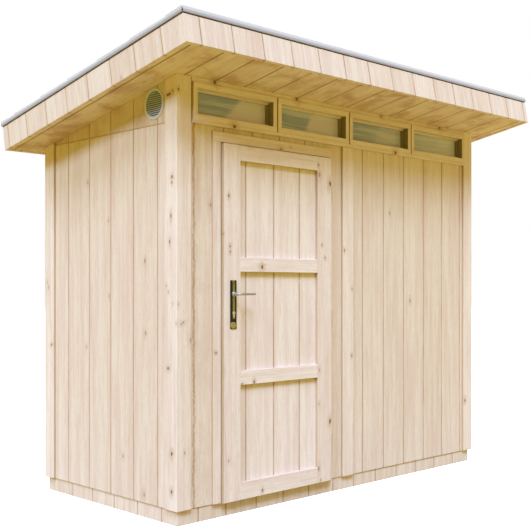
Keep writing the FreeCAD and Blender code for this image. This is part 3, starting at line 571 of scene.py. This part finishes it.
# Roofing: its reach, the first lap's place down the slope, and the width of a course
FELT_FOOT, FELT_TOP = reach("roof_covering", LIFT)
FELT_START, FELT_END = reach("roof_covering", DOWN)
FELT_SIDE = reach("roof_covering", X)[1]
FELT_MIDDLE = (FELT_START + FELT_END) / 2
FELT_HALF = (FELT_END - FELT_START) / 2
FIRST_LAP = FELT_START + 0.118
COURSE = 0.264


def covering_material():
    """Make mineral felt: pale grey edges with painted shade darkening their foot, duller courses with a line
    at each lap, and painted shadow in a dark line down each corner.
    """
    tree = Tree(bpy.data.materials.new("roofing_felt"))
    place = tree.place()
    grains = tree.noise(place, 900, 2, 0.7)
    cloud = tree.noise(place, 6, 3)
    shade = tree.mix(tree.spread(grains, 0.35, 0.7), colour(207, 207, 210), colour(228, 227, 229))
    shade = tree.mix(tree.spread(cloud, 0.4, 0.7, 0, 0.25), shade, colour(197, 197, 201))
    level = tree.vector("DOT_PRODUCT", place, LIFT, "Value")
    # Painted shade: the edge darkens towards its foot
    edge = tree.spread(level, FELT_FOOT + 0.004, FELT_TOP - 0.006, 1, 0, True)
    shade = tree.mix(edge, shade, colour(166, 168, 176))
    off = tree.math("ABSOLUTE", tree.split(place)[0])
    side = tree.spread(off, FELT_SIDE - 0.004, FELT_SIDE - 0.003)
    down = tree.vector("DOT_PRODUCT", place, DOWN, "Value")
    slope = tree.math("ABSOLUTE", tree.minus(down, FELT_MIDDLE))
    inward = tree.math("MINIMUM", tree.minus(FELT_HALF, slope), tree.minus(FELT_SIDE, off))
    worn = tree.noise(tree.stretch(place, (1, 0.25, 1)), 9, 4, 0.65)
    face = tree.mix(tree.spread(worn, 0.3, 0.7), colour(168, 163, 150), colour(190, 184, 170))
    face = tree.mix(tree.spread(grains, 0.35, 0.7, 0, 0.5), face, colour(207, 200, 185))
    course = tree.math("DIVIDE", tree.minus(down, FIRST_LAP), COURSE)
    own = tree.node("ShaderNodeTexWhiteNoise", {"W": tree.math("FLOOR", course)}, noise_dimensions="1D")
    face = tree.mix(tree.times(own.outputs["Value"], 0.35), face, colour(150, 147, 136))
    wave = tree.times(tree.noise(tree.stretch(place, (1, 0, 0)), 14, 2), 0.004)
    lap = tree.math("ABSOLUTE", tree.minus(tree.math("FRACT", tree.math("ADD", course, 0.5)), 0.5))
    lap = tree.minus(tree.times(lap, COURSE), wave)
    face = tree.mix(tree.spread(lap, 0.0035, 0.0015, 0, 0.7), face, colour(84, 82, 76))
    shade = tree.mix(tree.spread(inward, 0.008, 0.03, 0, 1, True), shade, face)
    # Painted shadow: a dark line down each corner, over the lower part of the edge
    corner_shadow = tree.times(side, tree.spread(slope, FELT_HALF - 0.004, FELT_HALF - 0.003))
    shade = tree.mix(tree.times(corner_shadow, tree.spread(edge, 0.0, 0.4)), shade, colour(62, 58, 44))
    tree.set(Base_Color=shade, Roughness=0.9)
    tree.bump(grains, 0.4, 0.0006)
    return tree.owner


def vent_material():
    """Make the grille's moulded plastic: a pale rim, greyer slats."""
    tree = Tree(bpy.data.materials.new("vent_plastic"))
    place = tree.place()
    gap = tree.vector("DISTANCE", tree.stretch(place, (0, 1, 1)), (0, VENT.y, VENT.z), "Value")
    rim = tree.spread(gap, MOUTH - 0.0003, MOUTH + 0.0001)
    speck = tree.noise(place, 400, 2)
    shares = tree.spread(speck, 0.3, 0.7)
    slat = tree.mix(shares, colour(190, 198, 208), colour(176, 184, 194))
    edge = tree.mix(shares, colour(220, 226, 234), colour(208, 214, 224))
    tree.set(Base_Color=tree.mix(rim, slat, edge), Roughness=0.5)
    tree.bump(speck, 0.1, 0.0003)
    return tree.owner


def painted_shade_sides(low, high, axes=(0,), inner=None):
    """Make a test for the sides of a member that get painted shade, of which only those facing the middle
    count if inner is set.
    """
    def test(point):
        for axis in axes:
            places = [low[axis], high[axis]]
            if inner is not None:
                places = [min(places, key=lambda place: abs(place - inner[axis]))]
            if any(abs(point[axis] - place) < TOUCH for place in places):
                return SIDE_SHADE_LEVEL
        return 0.0
    return test


# Walls

for node, wood, joints in (
        ("front_wall_left", edge_wood, OVER_DOOR_JOINTS),
        ("front_wall_middle", wall_wood, ()),
        ("front_wall_right", wall_wood, FRONT_JOINTS),
        ("front_wall_over_door", wall_wood, OVER_DOOR_JOINTS),
        ("rear_wall", wall_wood, REAR_JOINTS)):
    boards(node, "shed", wood, Z, Y, X, from_left(joints))


PANEL_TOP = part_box("left_wall")[1].z
VENT_CLEARANCE = 0.07


def near_vent(place):
    """Tell whether a place is on the rim of the vent's hole."""
    return math.hypot(place.y - VENT.y, place.z - VENT.z) < VENT_CLEARANCE


for node, wood in (("left_wall", wall_wood), ("right_wall", wall_wood), ("left_gable", gable_wood),
                   ("right_gable", gable_wood)):
    boards(node, "shed", wood, Z, X, Y, from_front(SIDE_JOINTS), spared=near_vent, seam=PANEL_TOP)
# Posts get painted shade on their sides: the two of each corner post that face the middle, and both of the
# middle post's
for node in ("corner_post_front_left", "corner_post_rear_left", "corner_post_front_right",
             "corner_post_rear_right", "middle_post"):
    low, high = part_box(node)
    axes, inner = ((0,), None) if node == "middle_post" else ((0, 1), (0, BODY_MIDDLE))
    boards(node, "shed", post_wood, Z, Y, width=POST_EDGE, painted_shade=painted_shade_sides(low, high, axes, inner))

# Base
# The seam at the posts' foot draws a dark line along the plinths' top, with a band of painted shadow under
# the wall boards
for node in ("plinth_front", "plinth_rear"):
    boards(node, "shed", wall_wood, Z, Y, X, from_left(PLINTH_FRONT_JOINTS), seam=POST_LOW.z)
for node in ("plinth_left", "plinth_right"):
    boards(node, "shed", wall_wood, Z, X, Y, from_front(PLINTH_SIDE_JOINTS), seam=POST_LOW.z)
boards("floor", "shed", wall_wood, X, Z, Y, from_front(FLOOR_JOINTS))

# Roof edge and lining
EAVES_START = reach("fascia_front", DOWN)[0]
for node in ("fascia_front", "fascia_rear"):
    boards(node, "shed", wall_wood, LIFT, DOWN, X, from_left(FASCIA_JOINTS), width=FASCIA_EDGE)
for node in ("fascia_left", "fascia_right"):
    joints = [EAVES_START + joint for joint in FASCIA_SIDE_JOINTS]
    boards(node, "shed", wall_wood, LIFT, X, DOWN, joints, width=FASCIA_EDGE)
boards("soffit", "shed", lining_wood, DOWN, LIFT, X, from_left(LINING_JOINTS), width=LINING_EDGE)

# Doorway, sill and header, with painted shade on their ends and on the head's top and underside
for node, normal, axes in (
        ("door_casing_head", Y, (0, 2)), ("window_sill", Z, (0,)), ("window_header", Y, (0,)),
        ("threshold", Z, (0,))):
    boards(node, "shed", trim_wood, X, normal, painted_shade=painted_shade_sides(*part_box(node), axes))


def members(node, body, material, parts):
    """Replace a CAD node by members given as boxes, each with its grain's direction and painted shade on its
    sides along X.
    """
    pile = Pile()
    for low, high, along, normal in parts:
        pile.add(box_solid(low, high), along, normal, painted_shade=painted_shade_sides(low, high))
    piece = pile.build(node + "_wood", body, material)
    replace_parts(piece, node)
    return piece


def islands(node):
    """Give the lowest and highest corners of each separate solid in a CAD node."""
    bm = mesh_of(node)
    left = set(bm.verts)
    found = []
    while left:
        stack = [left.pop()]
        group = list(stack)
        while stack:
            vert = stack.pop()
            for edge in vert.link_edges:
                other = edge.other_vert(vert)
                if other in left:
                    left.remove(other)
                    stack.append(other)
                    group.append(other)
        low = Vector([min(vert.co[axis] for vert in group) for axis in range(3)])
        high = Vector([max(vert.co[axis] for vert in group) for axis in range(3)])
        found.append((low, high))
    bm.free()
    return sorted(found, key=lambda pair: tuple(round(part, 4) for part in pair[0]))


# Casing sides and door stops, with painted shade on their left and right sides
for node in ("door_casing_sides", "door_stops"):
    members(node, "shed", trim_wood, [(low, high, Z, Y) for low, high in islands(node)])

# Windows: two stiles between a top and a bottom member on each frame, the stiles set back a little
BAR = 0.027
SET_BACK = 0.001
parts = []
reveals = []
sides = []
for low, high in islands("window_frames"):
    for start, end in ((low.z, low.z + BAR), (high.z - BAR, high.z)):
        parts.append((Vector((low.x, low.y, start)), Vector((high.x, high.y, end)), X, Y))
    for start, end in ((low.x, low.x + BAR), (high.x - BAR, high.x)):
        foot = Vector((start, low.y + SET_BACK, low.z + BAR))
        parts.append((foot, Vector((end, high.y, high.z - BAR)), Z, Y))
        inner = end if start == low.x else start
        reveals.append((inner, low.y + 2 * SET_BACK))
        sides.append(start + end - inner)
pile = Pile()
for low, high, along, normal in parts:
    # Painted shade: on the frames' outer sides, and darker on the stiles' inner faces behind their front
    def reveal(point, along=along):
        if any(abs(point.x - x) < TOUCH for x in sides):
            return SIDE_SHADE_LEVEL
        hidden = any(abs(point.x - x) < TOUCH and point.y > y for x, y in reveals)
        return REVEAL if along == Z and hidden else 0.0

    pile.add(box_solid(low, high), along, normal, painted_shade=reveal)
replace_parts(pile.build("window_frames_wood", "shed", trim_wood), "window_frames")

# Glazing beads in front of the panes, the side beads in dark painted shade
BEAD = 0.011
BEAD_DEPTH = 0.016
BEAD_CLEARANCE = 0.0005
GLASS_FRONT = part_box("window_glass")[0].y
front, back = GLASS_FRONT - BEAD_DEPTH, GLASS_FRONT - BEAD_CLEARANCE
pile = Pile()
for low, high in islands("window_frames"):
    left, right, sill, head = low.x + BAR, high.x - BAR, low.z + BAR, high.z - BAR
    for a, b, c, d, along, depth in (
            (left, right, head - BEAD, head, X, 0.0), (left, right, sill, sill + BEAD, X, 0.0),
            (left, left + BEAD, sill + BEAD, head - BEAD, Z, REVEAL),
            (right - BEAD, right, sill + BEAD, head - BEAD, Z, REVEAL)):
        pile.add(box_solid((a, front, c), (b, back, d)), along, Y, painted_shade=lambda point, depth=depth: depth)
pile.build("window_beads", "shed", trim_wood)

# Door leaf, with painted shade on the sides of its boards and stiles and under its rails, lighter on the
# rails' tops
leaf_sides = painted_shade_sides(*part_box("door_boards"))
boards("door_boards", "door", leaf_wood, Z, Y, X, from_left(LEAF_JOINTS), painted_shade=leaf_sides)
for node in ("door_stile_left", "door_stile_right"):
    boards(node, "door", leaf_wood, Z, Y, width=STILE_EDGE, painted_shade=painted_shade_sides(*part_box(node)))
pile = Pile()
for low, high in islands("door_rails"):
    def rail_edges(point, low=low, high=high):
        if abs(point.z - high.z) < TOUCH:
            return RAIL_TOP_SHADE_LEVEL
        return SIDE_SHADE_LEVEL if abs(point.z - low.z) < TOUCH else 0.0

    pile.add(box_solid(low, high), X, Y, painted_shade=rail_edges)
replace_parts(pile.build("door_rails_wood", "door", leaf_wood), "door_rails")


# Door furniture

def link(bm, name, body, material, nodes=(), smooth=True):
    """Turn a mesh into a piece that rides on a body."""
    bmesh.ops.recalc_face_normals(bm, faces=bm.faces)
    mesh = bpy.data.meshes.new(name)
    bm.to_mesh(mesh)
    bm.free()
    if smooth:
        mesh.shade_smooth()
        mesh.set_sharp_from_angle(angle=SMOOTH_ANGLE)
    mesh.materials.append(material)
    piece = bpy.data.objects.new(name, mesh)
    bpy.context.scene.collection.objects.link(piece)
    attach(piece, body)
    if nodes:
        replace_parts(piece, *nodes)
    return piece


def skin(bm, rings, looped=False):
    """Join rings of points into a tube, closed at both ends or looped from the last ring to the first."""
    made = [[bm.verts.new(point) for point in ring] for ring in rings]
    others = made[1:] + made[:1] if looped else made[1:]
    for first, second in zip(made, others):
        count = len(first)
        for index in range(count):
            after = (index + 1) % count
            bm.faces.new((first[index], first[after], second[after], second[index]))
    if not looped:
        bm.faces.new(made[0])
        bm.faces.new(made[-1])


def ellipse(centre, first, second, count):
    """Give points round a centre, from its two half axes."""
    angles = [2 * math.pi * step / count for step in range(count)]
    return [centre + first * math.cos(angle) + second * math.sin(angle) for angle in angles]


def lathe(bm, centre, axis, profile, count=32):
    """Turn a profile of (distance along the axis, radius) round an axis through a centre."""
    side = axis.orthogonal().normalized()
    other = axis.cross(side)
    skin(bm, [ellipse(centre + axis * along, side * radius, other * radius, count)
              for along, radius in profile])


def rounded(width, height, radius, steps=6):
    """Give the outline of a rectangle with round corners."""
    points = []
    for x, z, start in ((1, 1, 0), (-1, 1, 90), (-1, -1, 180), (1, -1, 270)):
        for step in range(steps + 1):
            angle = math.radians(start + 90 * step / steps)
            points.append((x * (width / 2 - radius) + radius * math.cos(angle),
                           z * (height / 2 - radius) + radius * math.sin(angle)))
    return points


def plate_rings(centre, outward, stages):
    """Give rings of a plate that stands on a face, each from its width, height, corner and distance."""
    return [[centre + Vector((x, outward * far, z)) for x, z in rounded(width, height, corner)]
            for width, height, corner, far in stages]


# A lock cylinder's outline: the barrel's radius, start and turn in degrees, and its foot's points
BARREL = 0.0085
BARREL_START = -54
BARREL_TURN = 288
BARREL_STEPS = 20
FOOT = [(-0.005, -0.0165), (-0.0035, -0.0195), (0, -0.0205), (0.0035, -0.0195), (0.005, -0.0165)]


def euro_profile(scale):
    """Give the outline of a lock cylinder: a round barrel over a narrower foot."""
    points = []
    for step in range(BARREL_STEPS + 1):
        angle = math.radians(BARREL_START + BARREL_TURN * step / BARREL_STEPS)
        points.append((BARREL * math.cos(angle), BARREL * math.sin(angle)))
    return [(x * scale, z * scale) for x, z in points + FOOT]


SPINDLE_LOW, SPINDLE_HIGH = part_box("spindle")
SPINDLE = (SPINDLE_LOW + SPINDLE_HIGH) / 2
CYLINDER_LOW, CYLINDER_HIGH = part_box("lock_cylinder")
CYLINDER = (CYLINDER_LOW + CYLINDER_HIGH) / 2


def plate_metal():
    """Make the plates' dark satin metal, brighter on the raised middle."""
    tree = Tree(bpy.data.materials.new("plate_metal"))
    place = tree.place()
    parts = tree.split(place)
    shares = tree.spread(tree.noise(tree.stretch(place, (1, 1, 0.05)), 700, 2), 0.3, 0.7)
    across = tree.math("ABSOLUTE", tree.minus(parts[0], SPINDLE.x))
    middle = tree.spread(across, 0.0080, 0.0062, 0, 1, True)
    worn = tree.spread(parts[2], CYLINDER.z - 0.03, CYLINDER.z - 0.024, 0, 1, True)
    shade = tree.mix(shares, colour(62, 58, 50), colour(48, 45, 40))
    bright = tree.mix(shares, colour(176, 170, 96), colour(150, 146, 84))
    shade = tree.mix(tree.times(middle, worn), shade, bright)
    tree.set(Base_Color=shade, Metallic=0.75, Roughness=tree.spread(shares, 0, 1, 0.34, 0.44))
    return tree.owner


def metal(name, base, roughness, brushed=(1, 1, 1)):
    """Make satin metal with fine brush lines."""
    tree = Tree(bpy.data.materials.new(name))
    lines = tree.noise(tree.stretch(tree.place(), brushed), 600, 2)
    dull = tuple(part * 0.82 for part in base[:3]) + (1,)
    tree.set(Base_Color=tree.mix(tree.spread(lines, 0.3, 0.7), base, dull), Metallic=1.0,
             Roughness=tree.spread(lines, 0.3, 0.7, roughness * 0.9, roughness * 1.1))
    tree.bump(lines, 0.08, 0.0002)
    return tree.owner


steel = metal("lever_steel", colour(200, 200, 190), 0.6, (0.05, 1, 1))
brass = metal("cylinder_brass", colour(240, 240, 214), 0.55)
boss_brass = metal("boss_brass", colour(206, 202, 150), 0.45)
# Dark steel for the screws, also the painted shade of the key slots
dark = metal("screw_steel_and_keyway_shade", colour(60, 56, 50), 0.5)
zinc = metal("hinge_zinc", colour(240, 224, 204), 0.65)

# Profiles to turn: distance along the axis, radius
SCREW = [(0, 0.0036), (0.0016, 0.0034), (0.0022, 0.0024), (0.0012, 0.0008)]
BOSS = [(0, 0.0175), (0.0012, 0.0172), (0.0022, 0.0150), (0.0026, 0.0115), (0.0022, 0.0095), (0.0028, 0.0085),
        (0.0036, 0.0050), (0.0038, 0.0012)]
COLLAR = [(0, 0.0128), (0.004, 0.0128), (0.0062, 0.0112), (0.0070, 0.0085)]

# Plates, screws, bosses, and key slots: dark pieces flush with the cylinder's ends, painted shade for the
# keyways
TOP_SCREW_INSET = 0.014
LOW_SCREW_DROP = 0.034
BOSS_RISE = 0.0185
BOSS_SHIFT = 0.002
SLOT_DEPTH = 0.0008
bm = bmesh.new()
screws = bmesh.new()
slots = bmesh.new()
bosses = bmesh.new()
for low, high in islands("handle_plates"):
    outward = -1 if low.y < SPINDLE.y else 1
    out = Y * outward
    face = high.y if outward < 0 else low.y
    width, thick, height = high - low
    centre = Vector(((low.x + high.x) / 2, face, (low.z + high.z) / 2))
    skin(bm, plate_rings(centre, outward, [
        (width, height, 0.005, 0), (width, height, 0.005, thick * 0.45),
        (width - 0.002, height - 0.002, 0.004, thick * 0.65), (0.021, height - 0.016, 0.004, thick * 0.7),
        (0.019, height - 0.018, 0.003, thick * 0.95), (0.017, height - 0.020, 0.003, thick)]))
    for z in (CYLINDER.z - LOW_SCREW_DROP, high.z - TOP_SCREW_INSET):
        lathe(screws, Vector((centre.x, face + outward * thick * 0.72, z)), out, SCREW, 20)
    boss = Vector((centre.x - BOSS_SHIFT, face + outward * thick * 0.6, low.z + BOSS_RISE))
    lathe(bosses, boss, out, BOSS, 36)
    key = Vector((CYLINDER.x, CYLINDER_LOW.y if outward < 0 else CYLINDER_HIGH.y, CYLINDER.z))
    skin(slots, plate_rings(key - out * SLOT_DEPTH, outward, [(0.0022, 0.008, 0.0008, 0),
                                                              (0.0022, 0.008, 0.0008, SLOT_DEPTH)]))
link(bm, "handle_plates_shaped", "door", plate_metal(), ["handle_plates"])
link(screws, "plate_screws", "door", dark)
link(bosses, "plate_bosses", "door", boss_brass)
link(slots, "keyway_shades", "door", dark)

# Lock cylinder, with its two ends bevelled
END_BEVEL = 0.001
END_SCALE = 0.92
bm = bmesh.new()
skin(bm, [[Vector((CYLINDER.x + x, y, CYLINDER.z + z)) for x, z in euro_profile(scale)] for y, scale in (
    (CYLINDER_LOW.y, END_SCALE), (CYLINDER_LOW.y + END_BEVEL, 1), (CYLINDER_HIGH.y - END_BEVEL, 1),
    (CYLINDER_HIGH.y, END_SCALE))])
link(bm, "lock_cylinder_shaped", "door", brass, ["lock_cylinder"])

# Levers: reach along the leaf, stand off it, bend between them, and half thicknesses of neck and grip
GRIP_REACH = 0.106
GRIP_STAND = 0.042
GRIP_BEND = 0.014
BEND_STEPS = 6
NECK = 0.0070
GRIP_FLAT = 0.0050
GRIP_TALL = 0.0056
GRIP_END = ((0.4, 1.0), (0.75, 0.96), (0.93, 0.9), (0.975, 0.72), (0.995, 0.42), (1.0, 0.12))
for node, outward in (("lever_outer", -1), ("lever_inner", 1)):
    low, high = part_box(node)
    bm = bmesh.new()
    root = Vector((SPINDLE.x, high.y if outward < 0 else low.y, SPINDLE.z))
    out = Y * outward
    lathe(bm, root, out, COLLAR)
    path = [(0, 0.004, 0.0085, 0.0085), (0, 0.012, 0.0075, 0.0075), (0, GRIP_STAND - GRIP_BEND, NECK, NECK)]
    for step in range(1, BEND_STEPS + 1):
        share = step / BEND_STEPS
        angle = math.radians(90 * share)
        path.append((GRIP_BEND * (1 - math.cos(angle)), GRIP_STAND - GRIP_BEND * (1 - math.sin(angle)),
                     NECK + (GRIP_FLAT - NECK) * share, NECK + (GRIP_TALL - NECK) * share))
    for share, size in GRIP_END:
        far = GRIP_BEND + (GRIP_REACH - GRIP_BEND) * share
        path.append((far, GRIP_STAND, GRIP_FLAT * size, GRIP_TALL * size))
    rings = []
    for index, (x, y, flat, tall) in enumerate(path):
        before, after = path[max(index - 1, 0)], path[min(index + 1, len(path) - 1)]
        heading = (X * (after[0] - before[0]) + out * (after[1] - before[1])).normalized()
        rings.append(ellipse(root + X * x + out * y, heading.cross(Z) * flat, Z * tall, 24))
    skin(bm, rings)
    link(bm, node + "_shaped", "handle", steel, [node])

# Vent: a moulded ring, sloping slats in it, and fine mesh behind them
SLEEVE = MOUTH + 0.003
RIM_DEPTH = 0.006
SLATS = 13
bm = bmesh.new()
ring = Vector((VENT_HIGH.x, VENT.y, VENT.z))
depth = VENT_HIGH.x - VENT_LOW.x
profile = [(0, MOUTH), (depth - 0.002, MOUTH), (depth - 0.0006, MOUTH + 0.0012), (depth, MOUTH + 0.003),
           (depth, RIM - 0.005), (depth - 0.001, RIM - 0.0025), (depth - 0.003, RIM - 0.0008),
           (depth - RIM_DEPTH + 0.0004, RIM), (depth - RIM_DEPTH, RIM - 0.0004), (depth - RIM_DEPTH, SLEEVE),
           (0, SLEEVE)]
skin(bm, [ellipse(ring - X * along, Y * radius, Z * radius, 72) for along, radius in profile], looped=True)
lip = VENT_LOW.x + 0.0015
for step in range(SLATS):
    z = VENT.z - MOUTH + 2 * MOUTH / SLATS * (step + 0.5)
    half = math.sqrt(MOUTH ** 2 - (z - VENT.z) ** 2)
    section = [(0, -0.0028), (0.0003, 0.0016), (0.0014, 0.0024), (0.010, 0.0062), (0.0106, 0.0050),
               (0.0020, 0.0010), (0.0014, -0.0030)]
    skin(bm, [[Vector((lip + x, VENT.y + side * half, z + up)) for x, up in section] for side in (-1, 1)])
link(bm, "vent_grille_shaped", "shed", vent_material(), ["vent_grille"])
bm = bmesh.new()
lathe(bm, Vector((VENT_HIGH.x - 0.003, VENT.y, VENT.z)), X, [(0, MOUTH), (0.0008, MOUTH)], 48)
tree = Tree(bpy.data.materials.new("vent_screen"))
weave = tree.node("ShaderNodeTexBrick", {"Vector": tree.place(), "Scale": 240})
tree.set(Base_Color=tree.mix(weave.outputs["Fac"], colour(58, 62, 54), colour(80, 84, 74)), Roughness=0.7)
link(bm, "vent_screen", "shed", tree.owner)

# Dark strip between the fascia and the roofing, in four bars: painted shadow in the gap under the roofing's
# edge
INSET = 0.0015
STRIP = 0.014
fascia_top = reach("fascia_front", LIFT)[1]
deck_foot = reach("roof_deck", LIFT)[0]
left, right = (place + inset for place, inset in zip(reach("fascia_front", X), (INSET, -INSET)))
start, end = EAVES_START + INSET, reach("fascia_rear", DOWN)[1] - INSET
bm = bmesh.new()
for x0, x1, d0, d1 in ((left, right, start, start + STRIP), (left, right, end - STRIP, end),
                       (left, left + STRIP, start + STRIP, end - STRIP),
                       (right - STRIP, right, start + STRIP, end - STRIP)):
    corners = ((d0, fascia_top), (d1, fascia_top), (d1, deck_foot), (d0, deck_foot))
    skin(bm, [[X * x + DOWN * down + LIFT * level for down, level in corners] for x in (x0, x1)])
tree = Tree(bpy.data.materials.new("eaves_shadow_strip"))
cloud = tree.noise(tree.place(), 60, 2)
tree.set(Base_Color=tree.mix(cloud, colour(52, 46, 30), colour(70, 62, 40)), Roughness=0.8)
link(bm, "eaves_shadow_strip", "shed", tree.owner, smooth=False)

# CAD nodes that keep their shape: those not named here are timber
finishes = {
    "window_glass": glass_material(),
    "roof_covering": covering_material(),
    "spindle": steel,
    "hinge_frame_halves": zinc,
    "hinge_leaf_halves": zinc,
}
for node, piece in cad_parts.items():
    piece.data.materials.clear()
    piece.data.materials.append(finishes.get(node, frame_wood))

# Floor of the studio: pale to look at, and it throws warm light back up under the roof
BOUNCE_LEFT = (0.455, 0.333, 0.052, 1)
BOUNCE_RIGHT = (0.62, 0.472, 0.16, 1)
BOUNCE_NEAR_WALLS = (0.475, 0.378, 0.155, 1)
FLOOR_GLOW = 0.6
bpy.ops.mesh.primitive_circle_add(vertices=96, radius=45, fill_type="NGON", location=(0, 0, 0))
ground = bpy.context.object
ground.name = "studio_floor"
tree = Tree(bpy.data.materials.new("studio_floor"))
pale = tree.mix(tree.noise(tree.place(), 0.6, 2), colour(249, 249, 249), colour(252, 252, 252))
seen = tree.node("ShaderNodeLightPath").outputs["Is Camera Ray"]
parts = tree.split(tree.place())
bounce = tree.mix(tree.spread(parts[0], 0.8, 2.2, 0, 1, True), BOUNCE_LEFT, BOUNCE_RIGHT)
beside = tree.minus(tree.math("ABSOLUTE", parts[0]), BODY_RIGHT)
before = tree.math("ABSOLUTE", tree.minus(parts[1], BODY_MIDDLE))
near = tree.math("MAXIMUM", beside, tree.minus(before, BODY_REAR - BODY_MIDDLE))
bounce = tree.mix(tree.spread(near, 0.25, 0.9, 1, 0, True), bounce, BOUNCE_NEAR_WALLS)
tree.set(Base_Color=tree.mix(seen, bounce, pale), Roughness=0.9, Specular_IOR_Level=0.0,
         Emission_Color=(1, 1, 1, 1), Emission_Strength=tree.times(seen, FLOOR_GLOW))
ground.data.materials.append(tree.owner)

# Light: a soft warm sky, brighter overhead, and three cool lamps: low from the left, higher from the front,
# and behind
SKY_LOW = (0.413, 0.311, 0.02, 1)
SKY_HIGH = (0.765, 0.604, 0.55, 1)
WHITE = (1, 1, 1, 1)
LAMP_DISTANCE = 8
tree = Tree(bpy.data.worlds.new("studio"), "Background")
bpy.context.scene.world = tree.owner
height = tree.split(tree.node("ShaderNodeTexCoord").outputs["Generated"])[2]
sky = tree.mix(tree.spread(height, 0.15, 0.85, 0, 1, True), SKY_LOW, SKY_HIGH)
seen = tree.node("ShaderNodeLightPath").outputs["Is Camera Ray"]
tree.set(Color=tree.mix(seen, sky, WHITE), Strength=1.0)

# Each lamp: azimuth and height in degrees, width of its disc, energy and tint
for name, azimuth, height, width, energy, tint in (
        ("left_lamp", -73, 34, 16, 2.12, (0.523, 0.678, 1.0)),
        ("front_lamp", -35, 52.2, 21, 3.31, (0.503, 0.668, 1.0)),
        ("rear_lamp", 135, 20, 24, 2.0, (0.56, 0.73, 1.0))):
    lamp = bpy.data.lights.new(name, "SUN")
    lamp.energy = energy
    lamp.angle = math.radians(width)
    lamp.color = tint
    holder = bpy.data.objects.new(name, lamp)
    bpy.context.scene.collection.objects.link(holder)
    azimuth, height = math.radians(azimuth), math.radians(height)
    toward = Vector((math.sin(azimuth) * math.cos(height), -math.cos(azimuth) * math.cos(height),
                     math.sin(height)))
    holder.rotation_mode = "QUATERNION"
    holder.rotation_quaternion = toward.to_track_quat("Z", "Y")
    holder.location = toward * LAMP_DISTANCE

# Camera at the photograph's place, level, with its horizon a little under the middle
CAMERA_PLACE = (-3.864457, -3.826121, 1.104522)
CAMERA_HEADING = 44.10486
camera_data = bpy.data.cameras.new("camera")
camera = bpy.data.objects.new("camera", camera_data)
bpy.context.scene.collection.objects.link(camera)
camera_data.sensor_width = 36
camera_data.lens = 62.996
camera_data.shift_y = 0.04178
camera_data.clip_end = 300
camera.location = CAMERA_PLACE
camera.rotation_euler = (math.pi / 2, 0, -math.radians(CAMERA_HEADING))
bpy.context.scene.camera = camera
bpy.context.scene.view_settings.view_transform = "Standard"
